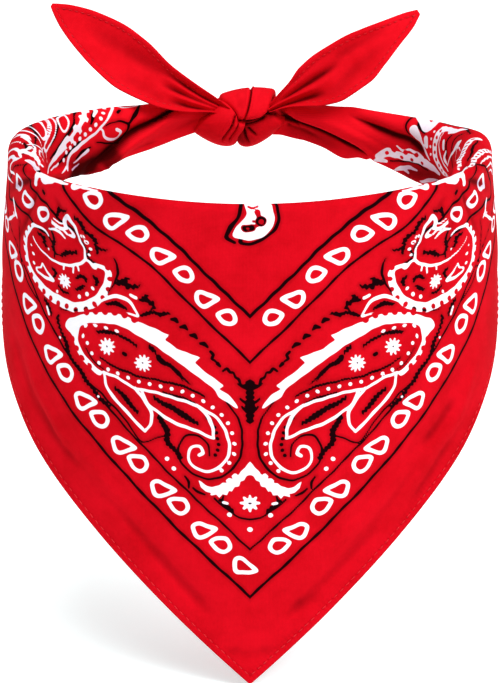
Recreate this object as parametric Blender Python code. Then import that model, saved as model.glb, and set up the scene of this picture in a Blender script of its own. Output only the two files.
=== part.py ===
"""A square cotton bandana folded on its diagonal and tied into a ring: a pointed bib hangs in front,
the long edge is folded in twice and gathered into a band at each side, and the two ends meet in a
knot with two pointed tails behind.

Metres, +Z up. +X is to the right of someone who faces the bib, and -Y is towards them. The origin is
the middle of the ring, level with the top fold of the bib, where a neck passes through.
"""

from math import cos, pi, radians, sin
from typing import NamedTuple

import bpy
import numpy as np

MM = 0.001
SEAM_GAP = 0.3 * MM

# The cut: a hemmed square. Half its diagonal is what the bib and the two folds share.
SQUARE_SIDE = 0.560
HALF_DIAGONAL = SQUARE_SIDE / 2**0.5
BIB_DROP = 0.205
FOLD_IN = (HALF_DIAGONAL - BIB_DROP) / 2  # the drop of the leg behind the bib

# The ring that a neck would fill, over the outer face of the cloth at the top fold.
RING_HALF_WIDTH = 0.0975
RING_FRONT_DEPTH = 0.095
RING_BACK_DEPTH = 0.060

# How the bib hangs below the fold: it widens a little, rounds less and leans in.
BIB_FLARE = 3.2 * MM
FLARE_DROP = 0.050
HANGING_DEPTH = 0.0705
HANGING_DROP = 0.100
LEAN_IN = 0.03
SIDE_START = radians(20)
SIDE_SAG = 3.7 * MM
BACK_SAG = 4.2 * MM
BACK_START = radians(140)
SAG_END = radians(160)

# The gathers: creases that fan out from a pinch on the inner edge of the fold.
PINCH_ANGLE = radians(57)
FAN_CREASES = 4.5
FAN_DEPTH = 0.9 * MM
FAN_HUB = 3 * MM
FAN_FULL = 12 * MM
FAN_REACH = 0.048

BAND_START = radians(62)
SEAM_TURN = SEAM_GAP / RING_FRONT_DEPTH  # on each side of the seam, as an angle
BAND_END = radians(165.4)
HEM_BLEND = 4 * MM  # how softly the hem's line runs into the band's edge
PLEAT_DEPTH = 1.3 * MM
PLEAT_START = radians(88)
PLEAT_FULL = radians(130)
PLEAT_DRIFT = 0.16  # share of the leg for each radian round the ring
LEAST_CROWN = 0.25 * MM  # kept under the wall at the top of the roll

HEM_WIDTH = 5.0 * MM
HEM_THICKNESS = 1.0 * MM
HEM_INSET = 0.8 * MM
HEM_CLEARANCE = 1.5 * SEAM_GAP  # the strip and the ply it lies on bend in different facets
HEM_END = radians(104)
HEM_LINE_END = radians(130)
HEM_LEVEL = 0.5 * MM  # how far the strip may lie below the line of the hem

RED = (0.62, 0.010, 0.022, 1.0)
DEEP_RED = (0.50, 0.008, 0.018, 1.0)


class RingSection(NamedTuple):
    """One cross-section of the folded cloth: an upside-down U, with sizes in millimetres."""

    angle: float  # degrees round the ring from the front
    roll_width: float  # across the top of the fold
    roll_height: float
    lift: float  # of the top over the fold line
    inner_drop: float  # length of the folded-in leg
    band_drop: float  # least length of the outer leg
    outer_wall: float
    inner_wall: float


RING_SECTIONS = (
    RingSection(0, 4.6, 2.3, 0.0, FOLD_IN / MM, 10.0, 1.2, 2.2),
    RingSection(38, 4.8, 2.4, 0.0, FOLD_IN / MM, 10.0, 1.2, 2.2),
    RingSection(57, 6.5, 3.2, -0.8, 74.0, 16.0, 1.3, 3.0),
    RingSection(72, 12.0, 5.6, 1.2, 48.0, 26.0, 1.4, 5.0),
    RingSection(90, 14.0, 6.5, 1.4, 37.0, 33.0, 1.6, 6.0),
    RingSection(112, 13.0, 6.2, 0.8, 31.5, 31.0, 2.0, 5.6),
    RingSection(128, 11.5, 5.6, 0.4, 26.5, 27.0, 2.6, 5.0),
    RingSection(142, 10.5, 5.0, 0.0, 21.5, 22.0, 3.0, 4.6),
    RingSection(154, 9.8, 4.6, -0.4, 17.5, 18.0, 3.2, 4.2),
    RingSection(166, 9.2, 4.4, -1.6, 13.0, 14.0, 3.2, 4.0),
)


class SideTrim(NamedTuple):
    """What each side has over the common sections towards the knot, in degrees and millimetres."""

    angle: float
    left_leg: float
    right_leg: float
    left_top: float
    right_top: float


SIDE_TRIMS = (
    SideTrim(0, 0.0, 0.0, 0.0, 0.0),
    SideTrim(92, 0.0, 0.0, 0.0, 0.0),
    SideTrim(106, 0.0, 0.0, 0.0, -1.4),
    SideTrim(119, 0.0, 0.0, 0.0, -2.8),
    SideTrim(134, 0.0, 0.0, 0.0, -3.0),
    SideTrim(151, -1.6, 3.4, 0.0, -2.2),
    SideTrim(166, -3.4, 0.0, 0.0, -0.4),
)


class TailSection(NamedTuple):
    """One station of a tail, in millimetres: along its axis, and to its two edges."""

    along: float
    upper: float
    lower: float


LEFT_TAIL = (
    TailSection(0, 1.2, 8.6),
    TailSection(11, 1.0, 13.4),
    TailSection(22.5, 1.9, 16.4),
    TailSection(38, 5.8, 17.8),
    TailSection(50, 7.2, 15.6),
    TailSection(61.5, 6.4, 11.8),
    TailSection(72, 4.2, 7.0),
    TailSection(78.4, 1.8, 2.8),
    TailSection(80.7, 0.7, 0.9),
)
RIGHT_TAIL = (
    TailSection(0, 1.2, 7.6),
    TailSection(7.5, 2.8, 12.2),
    TailSection(14.2, 5.6, 16.8),
    TailSection(23.6, 6.8, 17.4),
    TailSection(35.8, 6.8, 15.4),
    TailSection(45.3, 5.6, 12.2),
    TailSection(54.7, 4.0, 8.4),
    TailSection(64.2, 2.4, 4.6),
    TailSection(69.4, 1.0, 1.4),
)
TAIL_WALL = 1.8 * MM
TAIL_TIP_THINNING = 0.35
TAIL_CUP = 3.2 * MM
TAIL_BOW = 5 * MM
TAIL_FLUTE = 0.9 * MM
TAIL_TILT = radians(28)
LEFT_ROOT, LEFT_TIP = (-13.3, 46.2, -2.0), (-85.2, 64.0, 35.3)
RIGHT_ROOT, RIGHT_TIP = (11.7, 46.2, -1.4), (72.6, 62.0, 33.0)

# The knot: a wrap round the ends of the two bands, which swell out of it as two lobes.
KNOT_CENTRE = np.array((0.0, 54.0, -11.3)) * MM
WRAP_HALF_DEPTH = 11.2 * MM
WRAP_RISE = 11.2 * MM
WRAP_FALL = 9.4 * MM
WRAP_WALL = 2.6 * MM
WRAP_CROWN = 1.2 * MM
WRAP_CREASE = 0.5 * MM


class WrapEdge(NamedTuple):
    """The wrap's two edges at one angle round it, in degrees and millimetres: 0 faces the ring, 90 is up."""

    angle: float
    left: float
    right: float


WRAP_EDGES = (
    WrapEdge(-180, -8.0, 9.0),
    WrapEdge(-125, -4.5, 5.0),
    WrapEdge(-85, -2.0, 2.4),
    WrapEdge(-50, -2.8, 3.6),
    WrapEdge(-22, -4.2, 5.6),
    WrapEdge(0, -6.0, 7.8),
    WrapEdge(25, -9.0, 9.8),
    WrapEdge(55, -12.6, 10.8),
    WrapEdge(100, -13.0, 11.5),
    WrapEdge(140, -10.5, 11.0),
    WrapEdge(180, -8.0, 9.0),
)


class Lobe(NamedTuple):
    """How far a lobe swells past the wrap on each of its four sides, in millimetres."""

    front: float
    above: float
    behind: float
    below: float
    skew: float  # under 1 sets the fullest place close to the wrap


LEFT_LOBE = Lobe(front=3.8, above=0.6, behind=3.0, below=6.4, skew=1.0)
RIGHT_LOBE = Lobe(front=1.8, above=0.6, behind=3.0, below=6.2, skew=0.6)
LOBE_REACH = 22.6 * MM
LOBE_END_DEPTH = 5.0 * MM
LOBE_END_HEIGHT = 6.8 * MM
LOBE_SHARES = (0.02, 0.1, 0.18, 0.26, 0.34, 0.42, 0.5, 0.6, 0.7, 0.8, 0.89, 0.96, 1.0)
LOBE_CREASE = 0.9 * MM
LOBE_CLEAR = 2.0 * MM  # from the wrap's edge to where the lobe starts to swell
LOBE_CLOSE = 0.35  # share of the reach at which it starts to close
CORE_GAP = 1.6 * SEAM_GAP  # the wrap and the core in it bend in different facets


def ramp(value, start, end):
    """0 before start, 1 after end and a smooth step between."""
    share = np.clip((np.asarray(value, float) - start) / (end - start), 0, 1)
    return share * share * (3 - 2 * share)


def through(places, values, at):
    """A curve through the values with no overshoot, as a cubic between each two."""
    places, values = np.asarray(places, float), np.asarray(values, float)
    widths = np.diff(places)
    slopes = np.diff(values) / widths
    before, after = slopes[:-1], slopes[1:]
    inner = np.where(before * after > 0, 2 * before * after / (before + after + 1e-12), 0)
    tangents = np.concatenate([slopes[:1], inner, slopes[-1:]])
    at = np.clip(np.asarray(at, float), places[0], places[-1])
    left = np.clip(np.searchsorted(places, at, side="right") - 1, 0, len(widths) - 1)
    share = (at - places[left]) / widths[left]
    return (
        values[left] * (1 + 2 * share) * (1 - share) ** 2
        + values[left + 1] * share**2 * (3 - 2 * share)
        + tangents[left] * widths[left] * share * (1 - share) ** 2
        + tangents[left + 1] * widths[left] * share**2 * (share - 1)
    )


def section_size(column, phi):
    """One column of the ring sections at an angle round the ring, in metres."""
    angles = [radians(row.angle) for row in RING_SECTIONS]
    sizes = [getattr(row, column) * MM for row in RING_SECTIONS]
    return through(angles, sizes, np.abs(phi))


def side_trim(part, phi):
    """What the leg or the top has over its common size, on the side that the angle is on."""
    angles = [radians(row.angle) for row in SIDE_TRIMS]
    left, right = (
        through(angles, [getattr(row, side + part) * MM for row in SIDE_TRIMS], np.abs(phi))
        for side in ("left_", "right_")
    )
    return np.where(np.asarray(phi) < 0, left, right)


def ring_point(phi, drop):
    """The outer face of the cloth at an angle round the ring and a drop below its top."""
    phi, drop = np.broadcast_arrays(np.asarray(phi, float), np.asarray(drop, float))
    turn = np.abs(phi)
    half_width = RING_HALF_WIDTH + BIB_FLARE * ramp(drop, 0, FLARE_DROP)
    depth = RING_FRONT_DEPTH + (HANGING_DEPTH - RING_FRONT_DEPTH) * ramp(drop, 0, HANGING_DROP)
    front = -(RING_FRONT_DEPTH - LEAN_IN * drop)
    side = (front + depth) * (1 - ramp(turn, pi / 2, BACK_START))
    y = np.where(turn < pi / 2, front + depth * (1 - np.cos(turn)), side - RING_BACK_DEPTH * np.cos(turn))
    side_sag = SIDE_SAG * ramp(turn, SIDE_START, pi / 2)
    back_sag = (BACK_SAG - SIDE_SAG) * ramp(turn, pi / 2, SAG_END)
    z = section_size("lift", phi) + side_trim("top", phi) - side_sag - back_sag - drop
    return np.stack([half_width * np.sin(phi), y, z], axis=-1)


def outward(phi, drop):
    """The level unit vector that points out of the ring."""
    step = 1e-4
    along = ring_point(phi + step, drop) - ring_point(phi - step, drop)
    normal = np.stack([along[..., 1], -along[..., 0], np.zeros_like(along[..., 0])], axis=-1)
    return normal / np.linalg.norm(normal, axis=-1, keepdims=True)


def hem_line():
    """The drop of the hem at each angle: it rises at 45 degrees in the cloth from the tip."""
    angles = np.linspace(0, HEM_LINE_END, 261)
    drops = [BIB_DROP]
    for before, after in zip(angles[:-1], angles[1:]):
        step = ring_point(after, drops[-1]) - ring_point(before, drops[-1])
        drops.append(max(drops[-1] - float(np.hypot(step[0], step[1])), 0.0))
    return angles, np.array(drops)


HEM_ANGLES, HEM_DROPS = hem_line()


def outer_drop(phi):
    """Length of the outer leg: down to the hem in front, and to the band's own edge behind."""
    hem = np.interp(np.abs(phi), HEM_ANGLES, HEM_DROPS)
    band = section_size("band_drop", phi) + side_trim("leg", phi)
    return band + HEM_BLEND * np.logaddexp(0, (hem - band) / HEM_BLEND)


def fan_shape(phi, over_top):
    """Creases that fan out from the pinch; over_top is the way over the roll from its inner edge."""
    along = (np.abs(phi) - PINCH_ANGLE) * RING_HALF_WIDTH
    reach = np.hypot(along, over_top)
    heading = np.arctan2(over_top, along)
    fade = ramp(reach, FAN_HUB, FAN_FULL) * (1 - ramp(reach, FAN_REACH / 2, FAN_REACH))
    return FAN_DEPTH * fade * np.cos(2 * FAN_CREASES * heading)


def trough(place, middle, width):
    """A soft bump of height 1."""
    return np.exp(-(((place - middle) / width) ** 2))


def pleat_shape(phi, share):
    """Pleats along the band that close up towards the knot; share runs down one leg."""
    growth = ramp(np.abs(phi), PLEAT_START, PLEAT_FULL)
    drift = PLEAT_DRIFT * (np.abs(phi) - pi / 2)
    grooves = trough(share, 0.30 + drift, 0.10) + 0.8 * trough(share, 0.72 - drift, 0.09)
    return -PLEAT_DEPTH * growth * grooves


def folded_cloth(phis, outer_rows, roll_rows, inner_rows):
    """The outside and inside of the upside-down U, as grids: one row of points for each angle."""
    columns = []
    for phi in phis:
        width, height = section_size("roll_width", phi), section_size("roll_height", phi)
        outer_wall, inner_wall = section_size("outer_wall", phi), section_size("inner_wall", phi)
        outer_length, inner_length = outer_drop(phi), section_size("inner_drop", phi) + side_trim("leg", phi)
        base, normal = ring_point(phi, height), outward(phi, height)
        up = np.array((0.0, 0.0, 1.0))
        pairs = []
        for share in np.linspace(1, 0, outer_rows, endpoint=False):
            drop = height + share * (outer_length - height)
            relief = fan_shape(phi, width + drop) + pleat_shape(phi, share)
            face, out = ring_point(phi, drop), outward(phi, drop)
            pairs.append((face + out * relief, face + out * (relief - outer_wall)))
        for turn in np.linspace(0, pi, roll_rows):
            relief = fan_shape(phi, width * (1 + cos(turn)) / 2 + height * (1 - sin(turn)))
            wall = outer_wall + (inner_wall - outer_wall) * turn / pi
            spoke = normal * cos(turn) * width / 2 + up * sin(turn) * height
            way = spoke / np.linalg.norm(spoke)
            crown = base - normal * width / 2
            wall = min(wall, np.linalg.norm(spoke) - LEAST_CROWN)
            pairs.append((crown + spoke + way * relief, crown + spoke + way * (relief - wall)))
        for share in np.linspace(0, 1, inner_rows + 1)[1:]:
            drop = height + share * (inner_length - height)
            relief = fan_shape(phi, -drop) + pleat_shape(phi, share)
            face = base - normal * (width + relief) - up * (drop - height)
            pairs.append((face, face + normal * (inner_wall + relief / 2)))
        columns.append(pairs)
    grid = np.array(columns)
    return grid[:, :, 0], grid[:, :, 1]


def cloth_material(name, colour):
    """A matt cotton in one colour."""
    material = bpy.data.materials.new(name)
    material.use_nodes = True
    shader = material.node_tree.nodes["Principled BSDF"]
    shader.inputs["Base Color"].default_value = colour
    shader.inputs["Roughness"].default_value = 0.85
    shader.inputs["Metallic"].default_value = 0.0
    return material


def add_solid(name, points, faces, colour):
    """Adds one closed mesh, turned to face outwards."""
    corners = np.array([(a, b, c) for a, b, c, d in faces] + [(a, c, d) for a, b, c, d in faces])
    shape = points[corners]
    volume = np.einsum("ij,ij->i", shape[:, 0], np.cross(shape[:, 1], shape[:, 2])).sum()
    if volume < 0:
        faces = [face[::-1] for face in faces]
    mesh = bpy.data.meshes.new(name)
    mesh.from_pydata(points.tolist(), [], faces)
    mesh.shade_smooth()
    mesh.set_sharp_from_angle(angle=radians(50))
    mesh.materials.append(cloth_material(name + "_cotton", colour))
    solid = bpy.data.objects.new(name, mesh)
    bpy.context.scene.collection.objects.link(solid)
    return solid


def add_sheet(name, outside, inside, colour, closed=False):
    """Adds a cloth wall between two grids; a closed one joins its last column to its first."""
    columns, rows = outside.shape[:2]
    points = np.concatenate([outside.reshape(-1, 3), inside.reshape(-1, 3)])
    under = columns * rows
    faces = []
    for column in range(columns if closed else columns - 1):
        this, following = column * rows, (column + 1) % columns * rows
        for row in range(rows - 1):
            here, there = this + row, following + row
            faces.append((here, here + 1, there + 1, there))
            faces.append((under + here, under + there, under + there + 1, under + here + 1))
        faces.append((this, following, under + following, under + this))
        last = rows - 1
        faces.append((this + last, under + this + last, under + following + last, following + last))
    if not closed:
        last = (columns - 1) * rows
        for row in range(rows - 1):
            faces.append((row, under + row, under + row + 1, row + 1))
            faces.append((last + row, last + row + 1, under + last + row + 1, under + last + row))
    return add_solid(name, points, faces, colour)


def add_tube(name, rings, colour):
    """Adds a solid through closed rings of points, with a fan of faces over each end."""
    count, sides = rings.shape[:2]
    ends = np.stack([rings[0].mean(axis=0), rings[-1].mean(axis=0)])
    points = np.concatenate([rings.reshape(-1, 3), ends])
    faces = []
    for ring in range(count - 1):
        for side in range(sides):
            after = (side + 1) % sides
            this, following = ring * sides, (ring + 1) * sides
            faces.append((this + side, this + after, following + after, following + side))
    first_end, last_end = count * sides, count * sides + 1
    for side in range(0, sides, 2):
        middle, after = side + 1, (side + 2) % sides
        last = (count - 1) * sides
        faces.append((first_end, after, middle, side))
        faces.append((last_end, last + side, last + middle, last + after))
    return add_solid(name, points, faces, colour)


def build_bib():
    """The front stretch: the hanging ply, the top fold and the leg folded in behind it."""
    edge = BAND_START - SEAM_TURN
    phis = np.linspace(-edge, edge, 31)
    outside, inside = folded_cloth(phis, outer_rows=11, roll_rows=5, inner_rows=4)
    add_sheet("bib", outside, inside, RED)


def build_hem(side, name):
    """The rolled edge on the back of the hanging ply, from the tip up one side."""
    phis = side * np.linspace(radians(0.25), HEM_END, 42)
    near, far = [], []
    for phi in phis:
        wall = section_size("outer_wall", phi)
        length, height = outer_drop(phi), section_size("roll_height", phi)
        edge = min(length, np.interp(abs(phi), HEM_ANGLES, HEM_DROPS) + HEM_LEVEL)
        row_near, row_far = [], []
        for inset in (HEM_INSET, HEM_INSET + HEM_WIDTH):
            drop = edge - inset * 2**0.5
            share = (drop - height) / (length - height)
            relief = fan_shape(phi, section_size("roll_width", phi) + drop) + pleat_shape(phi, share)
            face, out = ring_point(phi, drop), outward(phi, drop)
            row_near.append(face + out * (relief - wall - HEM_CLEARANCE))
            row_far.append(face + out * (relief - wall - HEM_CLEARANCE - HEM_THICKNESS))
        near.append(row_near)
        far.append(row_far)
    add_sheet(name, np.array(near), np.array(far), DEEP_RED)


def build_band(side, name):
    """One side stretch: the gathered band from the bib round to the knot."""
    phis = side * np.linspace(BAND_START + SEAM_TURN, BAND_END, 27)
    outside, inside = folded_cloth(phis, outer_rows=8, roll_rows=6, inner_rows=6)
    add_sheet(name, outside, inside, RED)


def wrap_edge(column, angle):
    """Where the wrap ends on one side, at an angle round it."""
    angles = [radians(row.angle) for row in WRAP_EDGES]
    return through(angles, [getattr(row, column) * MM for row in WRAP_EDGES], angle)


def wrap_spoke(angle, inset):
    """A point on the wrap's oval in the plane across the ring, moved in by the inset."""
    height = WRAP_RISE if sin(angle) > 0 else WRAP_FALL
    return np.array((0.0, -cos(angle) * (WRAP_HALF_DEPTH - inset), sin(angle) * (height - inset)))


def build_wrap():
    """The turn of cloth that closes the knot, wide on top and drawn together underneath."""
    across = np.linspace(0, 1, 6)
    outside, inside = [], []
    for angle in np.linspace(-pi, pi, 28, endpoint=False):
        left, right = wrap_edge("left", angle), wrap_edge("right", angle)
        outer_row, inner_row = [], []
        for share in across:
            x = np.array((left + share * (right - left), 0.0, 0.0))
            crown = WRAP_CROWN * (1 - (2 * share - 1) ** 2) - WRAP_CREASE * trough(share, 0.62, 0.12)
            outer_row.append(KNOT_CENTRE + x + wrap_spoke(angle, -crown))
            inner_row.append(KNOT_CENTRE + x + wrap_spoke(angle, WRAP_WALL))
        outside.append(outer_row)
        inside.append(inner_row)
    add_sheet("knot_wrap", np.array(outside), np.array(inside), RED, closed=True)


def lobe_swell(lobe, angle):
    """The lobe's fullness at one angle, eased between its four sides."""
    ahead, up = cos(angle), sin(angle)
    level = lobe.front if ahead > 0 else lobe.behind
    upright = lobe.above if up > 0 else lobe.below
    return (level * ahead**2 + upright * up**2) * MM


def build_lobe(side, name, lobe):
    """The end of one band inside the knot, which swells where the wrap leaves it free."""
    column = "left" if side < 0 else "right"
    stations = SEAM_GAP / 2 + np.array(LOBE_SHARES) * (LOBE_REACH - SEAM_GAP / 2)
    rings = []
    for reach in stations:
        ring = []
        for angle in np.linspace(-pi, pi, 24, endpoint=False):
            start = abs(wrap_edge(column, angle)) + LOBE_CLEAR
            share = min(max((reach - start) / (LOBE_REACH - start), 0.0), 1.0)
            dome = sin(pi * share**lobe.skew) ** 0.8
            crease = LOBE_CREASE * trough(angle, radians(-30), 0.25) * dome
            core = wrap_spoke(angle, WRAP_WALL + CORE_GAP - lobe_swell(lobe, angle) * dome + crease)
            end = np.array((0.0, -cos(angle) * LOBE_END_DEPTH, sin(angle) * LOBE_END_HEIGHT))
            close = ramp(reach, LOBE_CLOSE * LOBE_REACH, LOBE_REACH)
            place = KNOT_CENTRE + np.array((side * reach, 0.0, 0.0))
            ring.append(place + core * (1 - close) + end * close)
        rings.append(ring)
    add_tube(name, np.array(rings), DEEP_RED)


def build_tail(side, name, sections, root, tip):
    """A leaf-shaped end of folded cloth, cupped across and fluted towards the knot."""
    root, tip = np.array(root) * MM, np.array(tip) * MM
    axis = (tip - root) / np.linalg.norm(tip - root)
    facing = np.array((0.0, -cos(TAIL_TILT), sin(TAIL_TILT)))
    facing -= axis * facing.dot(axis)
    facing /= np.linalg.norm(facing)
    across = np.cross(facing, axis) * side
    along = np.array([row.along for row in sections]) * MM
    length = along[-1]
    outside, inside = [], []
    for place in np.linspace(0, length, 17):
        upper = through(along, [row.upper * MM for row in sections], place)
        lower = through(along, [row.lower * MM for row in sections], place)
        share_along = place / length
        bow = TAIL_BOW * sin(pi * share_along)
        outer_row, inner_row = [], []
        for share in np.linspace(0, 1, 7):
            offset = upper - share * (upper + lower)
            belly = TAIL_CUP * sin(pi * share) * sin(pi * min(1.0, 0.15 + share_along))
            flute = TAIL_FLUTE * cos(4 * pi * share) * (1 - share_along) ** 2
            middle = root + axis * place + across * offset + facing * (bow - belly + flute)
            wall = TAIL_WALL * (1 - TAIL_TIP_THINNING * share_along)
            outer_row.append(middle + facing * wall / 2)
            inner_row.append(middle - facing * wall / 2)
        outside.append(outer_row)
        inside.append(inner_row)
    add_sheet(name, np.array(outside), np.array(inside), RED)


def main():
    for existing in list(bpy.data.objects):
        bpy.data.objects.remove(existing)
    build_bib()
    build_hem(-1, "hem_left")
    build_hem(1, "hem_right")
    build_band(-1, "band_left")
    build_band(1, "band_right")
    build_wrap()
    build_lobe(-1, "knot_left_lobe", LEFT_LOBE)
    build_lobe(1, "knot_right_lobe", RIGHT_LOBE)
    build_tail(-1, "tail_left", LEFT_TAIL, LEFT_ROOT, LEFT_TIP)
    build_tail(1, "tail_right", RIGHT_TAIL, RIGHT_ROOT, RIGHT_TIP)


main()
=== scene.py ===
"""A red cotton bandana with a white and black paisley print, folded on its diagonal and tied into a ring.

Lengths in the tables are millimetres and angles are degrees, where a name doesn't say otherwise; every
mesh is in metres. A place on the cloth is (q, h): q runs along the ring from the middle of the bib, and h
runs down from the top fold, so that it is negative on the leg that is folded in. The print is drawn in
(x, y), where x is q and y is the height over the tip, 205 - h.
"""

import logging
from dataclasses import dataclass
from enum import Enum
from math import atan2, ceil, cos, degrees, pi, radians, sin, sqrt
from typing import Iterable, NamedTuple, Sequence, TypeVar

import bmesh
import bpy
import numpy as np
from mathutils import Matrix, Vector


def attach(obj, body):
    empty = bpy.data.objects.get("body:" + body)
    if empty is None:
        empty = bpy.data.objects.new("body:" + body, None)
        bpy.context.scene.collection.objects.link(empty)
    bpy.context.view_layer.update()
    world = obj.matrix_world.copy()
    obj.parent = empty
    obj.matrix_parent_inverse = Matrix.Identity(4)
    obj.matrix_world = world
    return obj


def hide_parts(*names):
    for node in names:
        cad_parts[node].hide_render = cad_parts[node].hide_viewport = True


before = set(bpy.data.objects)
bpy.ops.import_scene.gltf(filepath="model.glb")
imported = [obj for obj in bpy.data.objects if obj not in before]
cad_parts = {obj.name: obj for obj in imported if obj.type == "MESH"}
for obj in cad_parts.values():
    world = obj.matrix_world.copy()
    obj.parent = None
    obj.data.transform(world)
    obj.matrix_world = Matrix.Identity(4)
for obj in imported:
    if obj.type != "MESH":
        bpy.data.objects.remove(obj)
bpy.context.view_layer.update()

LOG = logging.getLogger("bandana")
MM = 0.001
BIB_DROP = 205.0
Points = np.ndarray
Place = tuple[float, float]
Row = TypeVar("Row")


# ---------------------------------------------------------------------------------------- small tools


def places(text: str) -> tuple[Place, ...]:
    """Places from text such as "1,2 3.5,4"."""
    return tuple(tuple(float(number) for number in pair.split(",")) for pair in text.split())


def split_rows(table: str) -> list[list[str]]:
    """A table's rows, split at their bars. A row that ends in + goes on in the next line."""
    return [line.split("|") for line in table.replace(" +\n", " ").strip().splitlines()]


def records(kind: type[Row], table: str) -> tuple[Row, ...]:
    """One record for each row of a table of numbers, in the order of the record's fields."""
    return tuple(kind(*map(float, row.split())) for row in table.strip().splitlines())


def ramp(value: np.ndarray | float, start: float, end: float) -> np.ndarray:
    """A smooth step from 0 before start to 1 after end.

    Args:
        value: The numbers to map.
        start: Where the step starts.
        end: Where the step ends.

    Returns:
        Numbers from 0 to 1.
    """
    share = np.clip((np.asarray(value, float) - start) / (end - start), 0, 1)
    return share * share * (3 - 2 * share)


def bump(value: np.ndarray | float, middle: float, width: float) -> np.ndarray:
    """A soft bump of height 1 round the middle."""
    return np.exp(-(((np.asarray(value, float) - middle) / width) ** 2))


def through(places: Sequence[float], values: Sequence[float], at: np.ndarray | float) -> np.ndarray:
    """A curve through the values with no overshoot.

    Args:
        places: Where each value stands, in rising order.
        values: The values.
        at: Where to read the curve.

    Returns:
        The curve's values, held level past both ends.
    """
    places, values = np.asarray(places, float), np.asarray(values, float)
    widths = np.diff(places)
    slopes = np.diff(values) / widths
    before, after = slopes[:-1], slopes[1:]
    inner = np.where(before * after > 0, 2 * before * after / (before + after + 1e-12), 0)
    tangents = np.concatenate([slopes[:1], inner, slopes[-1:]])
    at = np.clip(np.asarray(at, float), places[0], places[-1])
    left = np.clip(np.searchsorted(places, at, side="right") - 1, 0, len(widths) - 1)
    share = (at - places[left]) / widths[left]
    return (
        values[left] * (1 + 2 * share) * (1 - share) ** 2
        + values[left + 1] * share**2 * (3 - 2 * share)
        + tangents[left] * widths[left] * share * (1 - share) ** 2
        + tangents[left + 1] * widths[left] * share**2 * (share - 1)
    )


def read_column(rows: Sequence[Row], column: str, at: np.ndarray | float) -> np.ndarray:
    """One column of a table that has an angle in each row, read at angles in radians."""
    return through([radians(row.angle) for row in rows], [getattr(row, column) for row in rows], at)


def smooth_path(places: Sequence[Sequence[float]], step: float = 0.9, closed: bool = False) -> Points:
    """A curve through given places.

    Args:
        places: The places, in the plane or in space.
        step: How far apart the curve's points may be, in the places' own unit.
        closed: Whether the curve runs back to its first place.

    Returns:
        The curve's points, one a row.
    """
    knots = np.asarray(places, float)
    if closed:
        knots = np.concatenate([knots[-1:], knots, knots[:2]])
    else:
        knots = np.concatenate([2 * knots[:1] - knots[1:2], knots, 2 * knots[-1:] - knots[-2:-1]])
    points = []
    for before, start, end, after in zip(knots, knots[1:], knots[2:], knots[3:]):
        count = max(2, ceil(np.linalg.norm(end - start) / step))
        share = np.arange(count)[:, None] / count
        points.append(
            0.5
            * (
                2 * start
                + (end - before) * share
                + (2 * before - 5 * start + 4 * end - after) * share**2
                + (3 * start - before - 3 * end + after) * share**3
            )
        )
    if not closed:
        points.append(knots[-2:-1])
    return np.concatenate(points)


# ------------------------------------------------------------------------------- the tied cloth's form


class Section(NamedTuple):
    """One cross-section of the folded cloth, an upside-down U."""

    angle: float
    roll_width: float
    roll_height: float
    lift: float
    inner_drop: float
    band_drop: float
    inner_wall: float


SECTIONS = records(Section, """
    0 4.6 2.3 0 95.5 10 2.2
    38 4.8 2.4 0 95.5 10 2.2
    57 6.5 3.2 -0.8 74 16 3
    72 12 5.6 1.2 48 26 5
    90 14 6.5 1.4 37 33 6
    112 13 6.2 0.8 31.5 31 5.6
    128 11.5 5.6 0.4 26.5 27 5
    142 10.5 5 0 21.5 22 4.6
    154 9.8 4.6 -0.4 17.5 18 4.2
    166 9.2 4.4 -1.6 13 14 4
""")


class SideTrim(NamedTuple):
    """What each side has over the common sections towards the knot."""

    angle: float
    left_leg: float
    right_leg: float
    right_top: float


# These rows are measured ones that were carried over from scratch work.
SIDE_TRIMS = records(SideTrim, """
    0 0 0 0
    92 0 0 0
    106 -2.8 -1.4 -1.4
    119 -4 -1.9 -2.8
    134 -1.2 -1.6 -3
    147 -0.5 -1.6 -2.5
    150 -0.6 -0.6 -2.3
    155 -0.8 2.2 -1.9
    161 -1.8 0.7 -1
    166 -2.5 0.4 -0.4
    172 -3 -1.4 -0.4
""")


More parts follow.
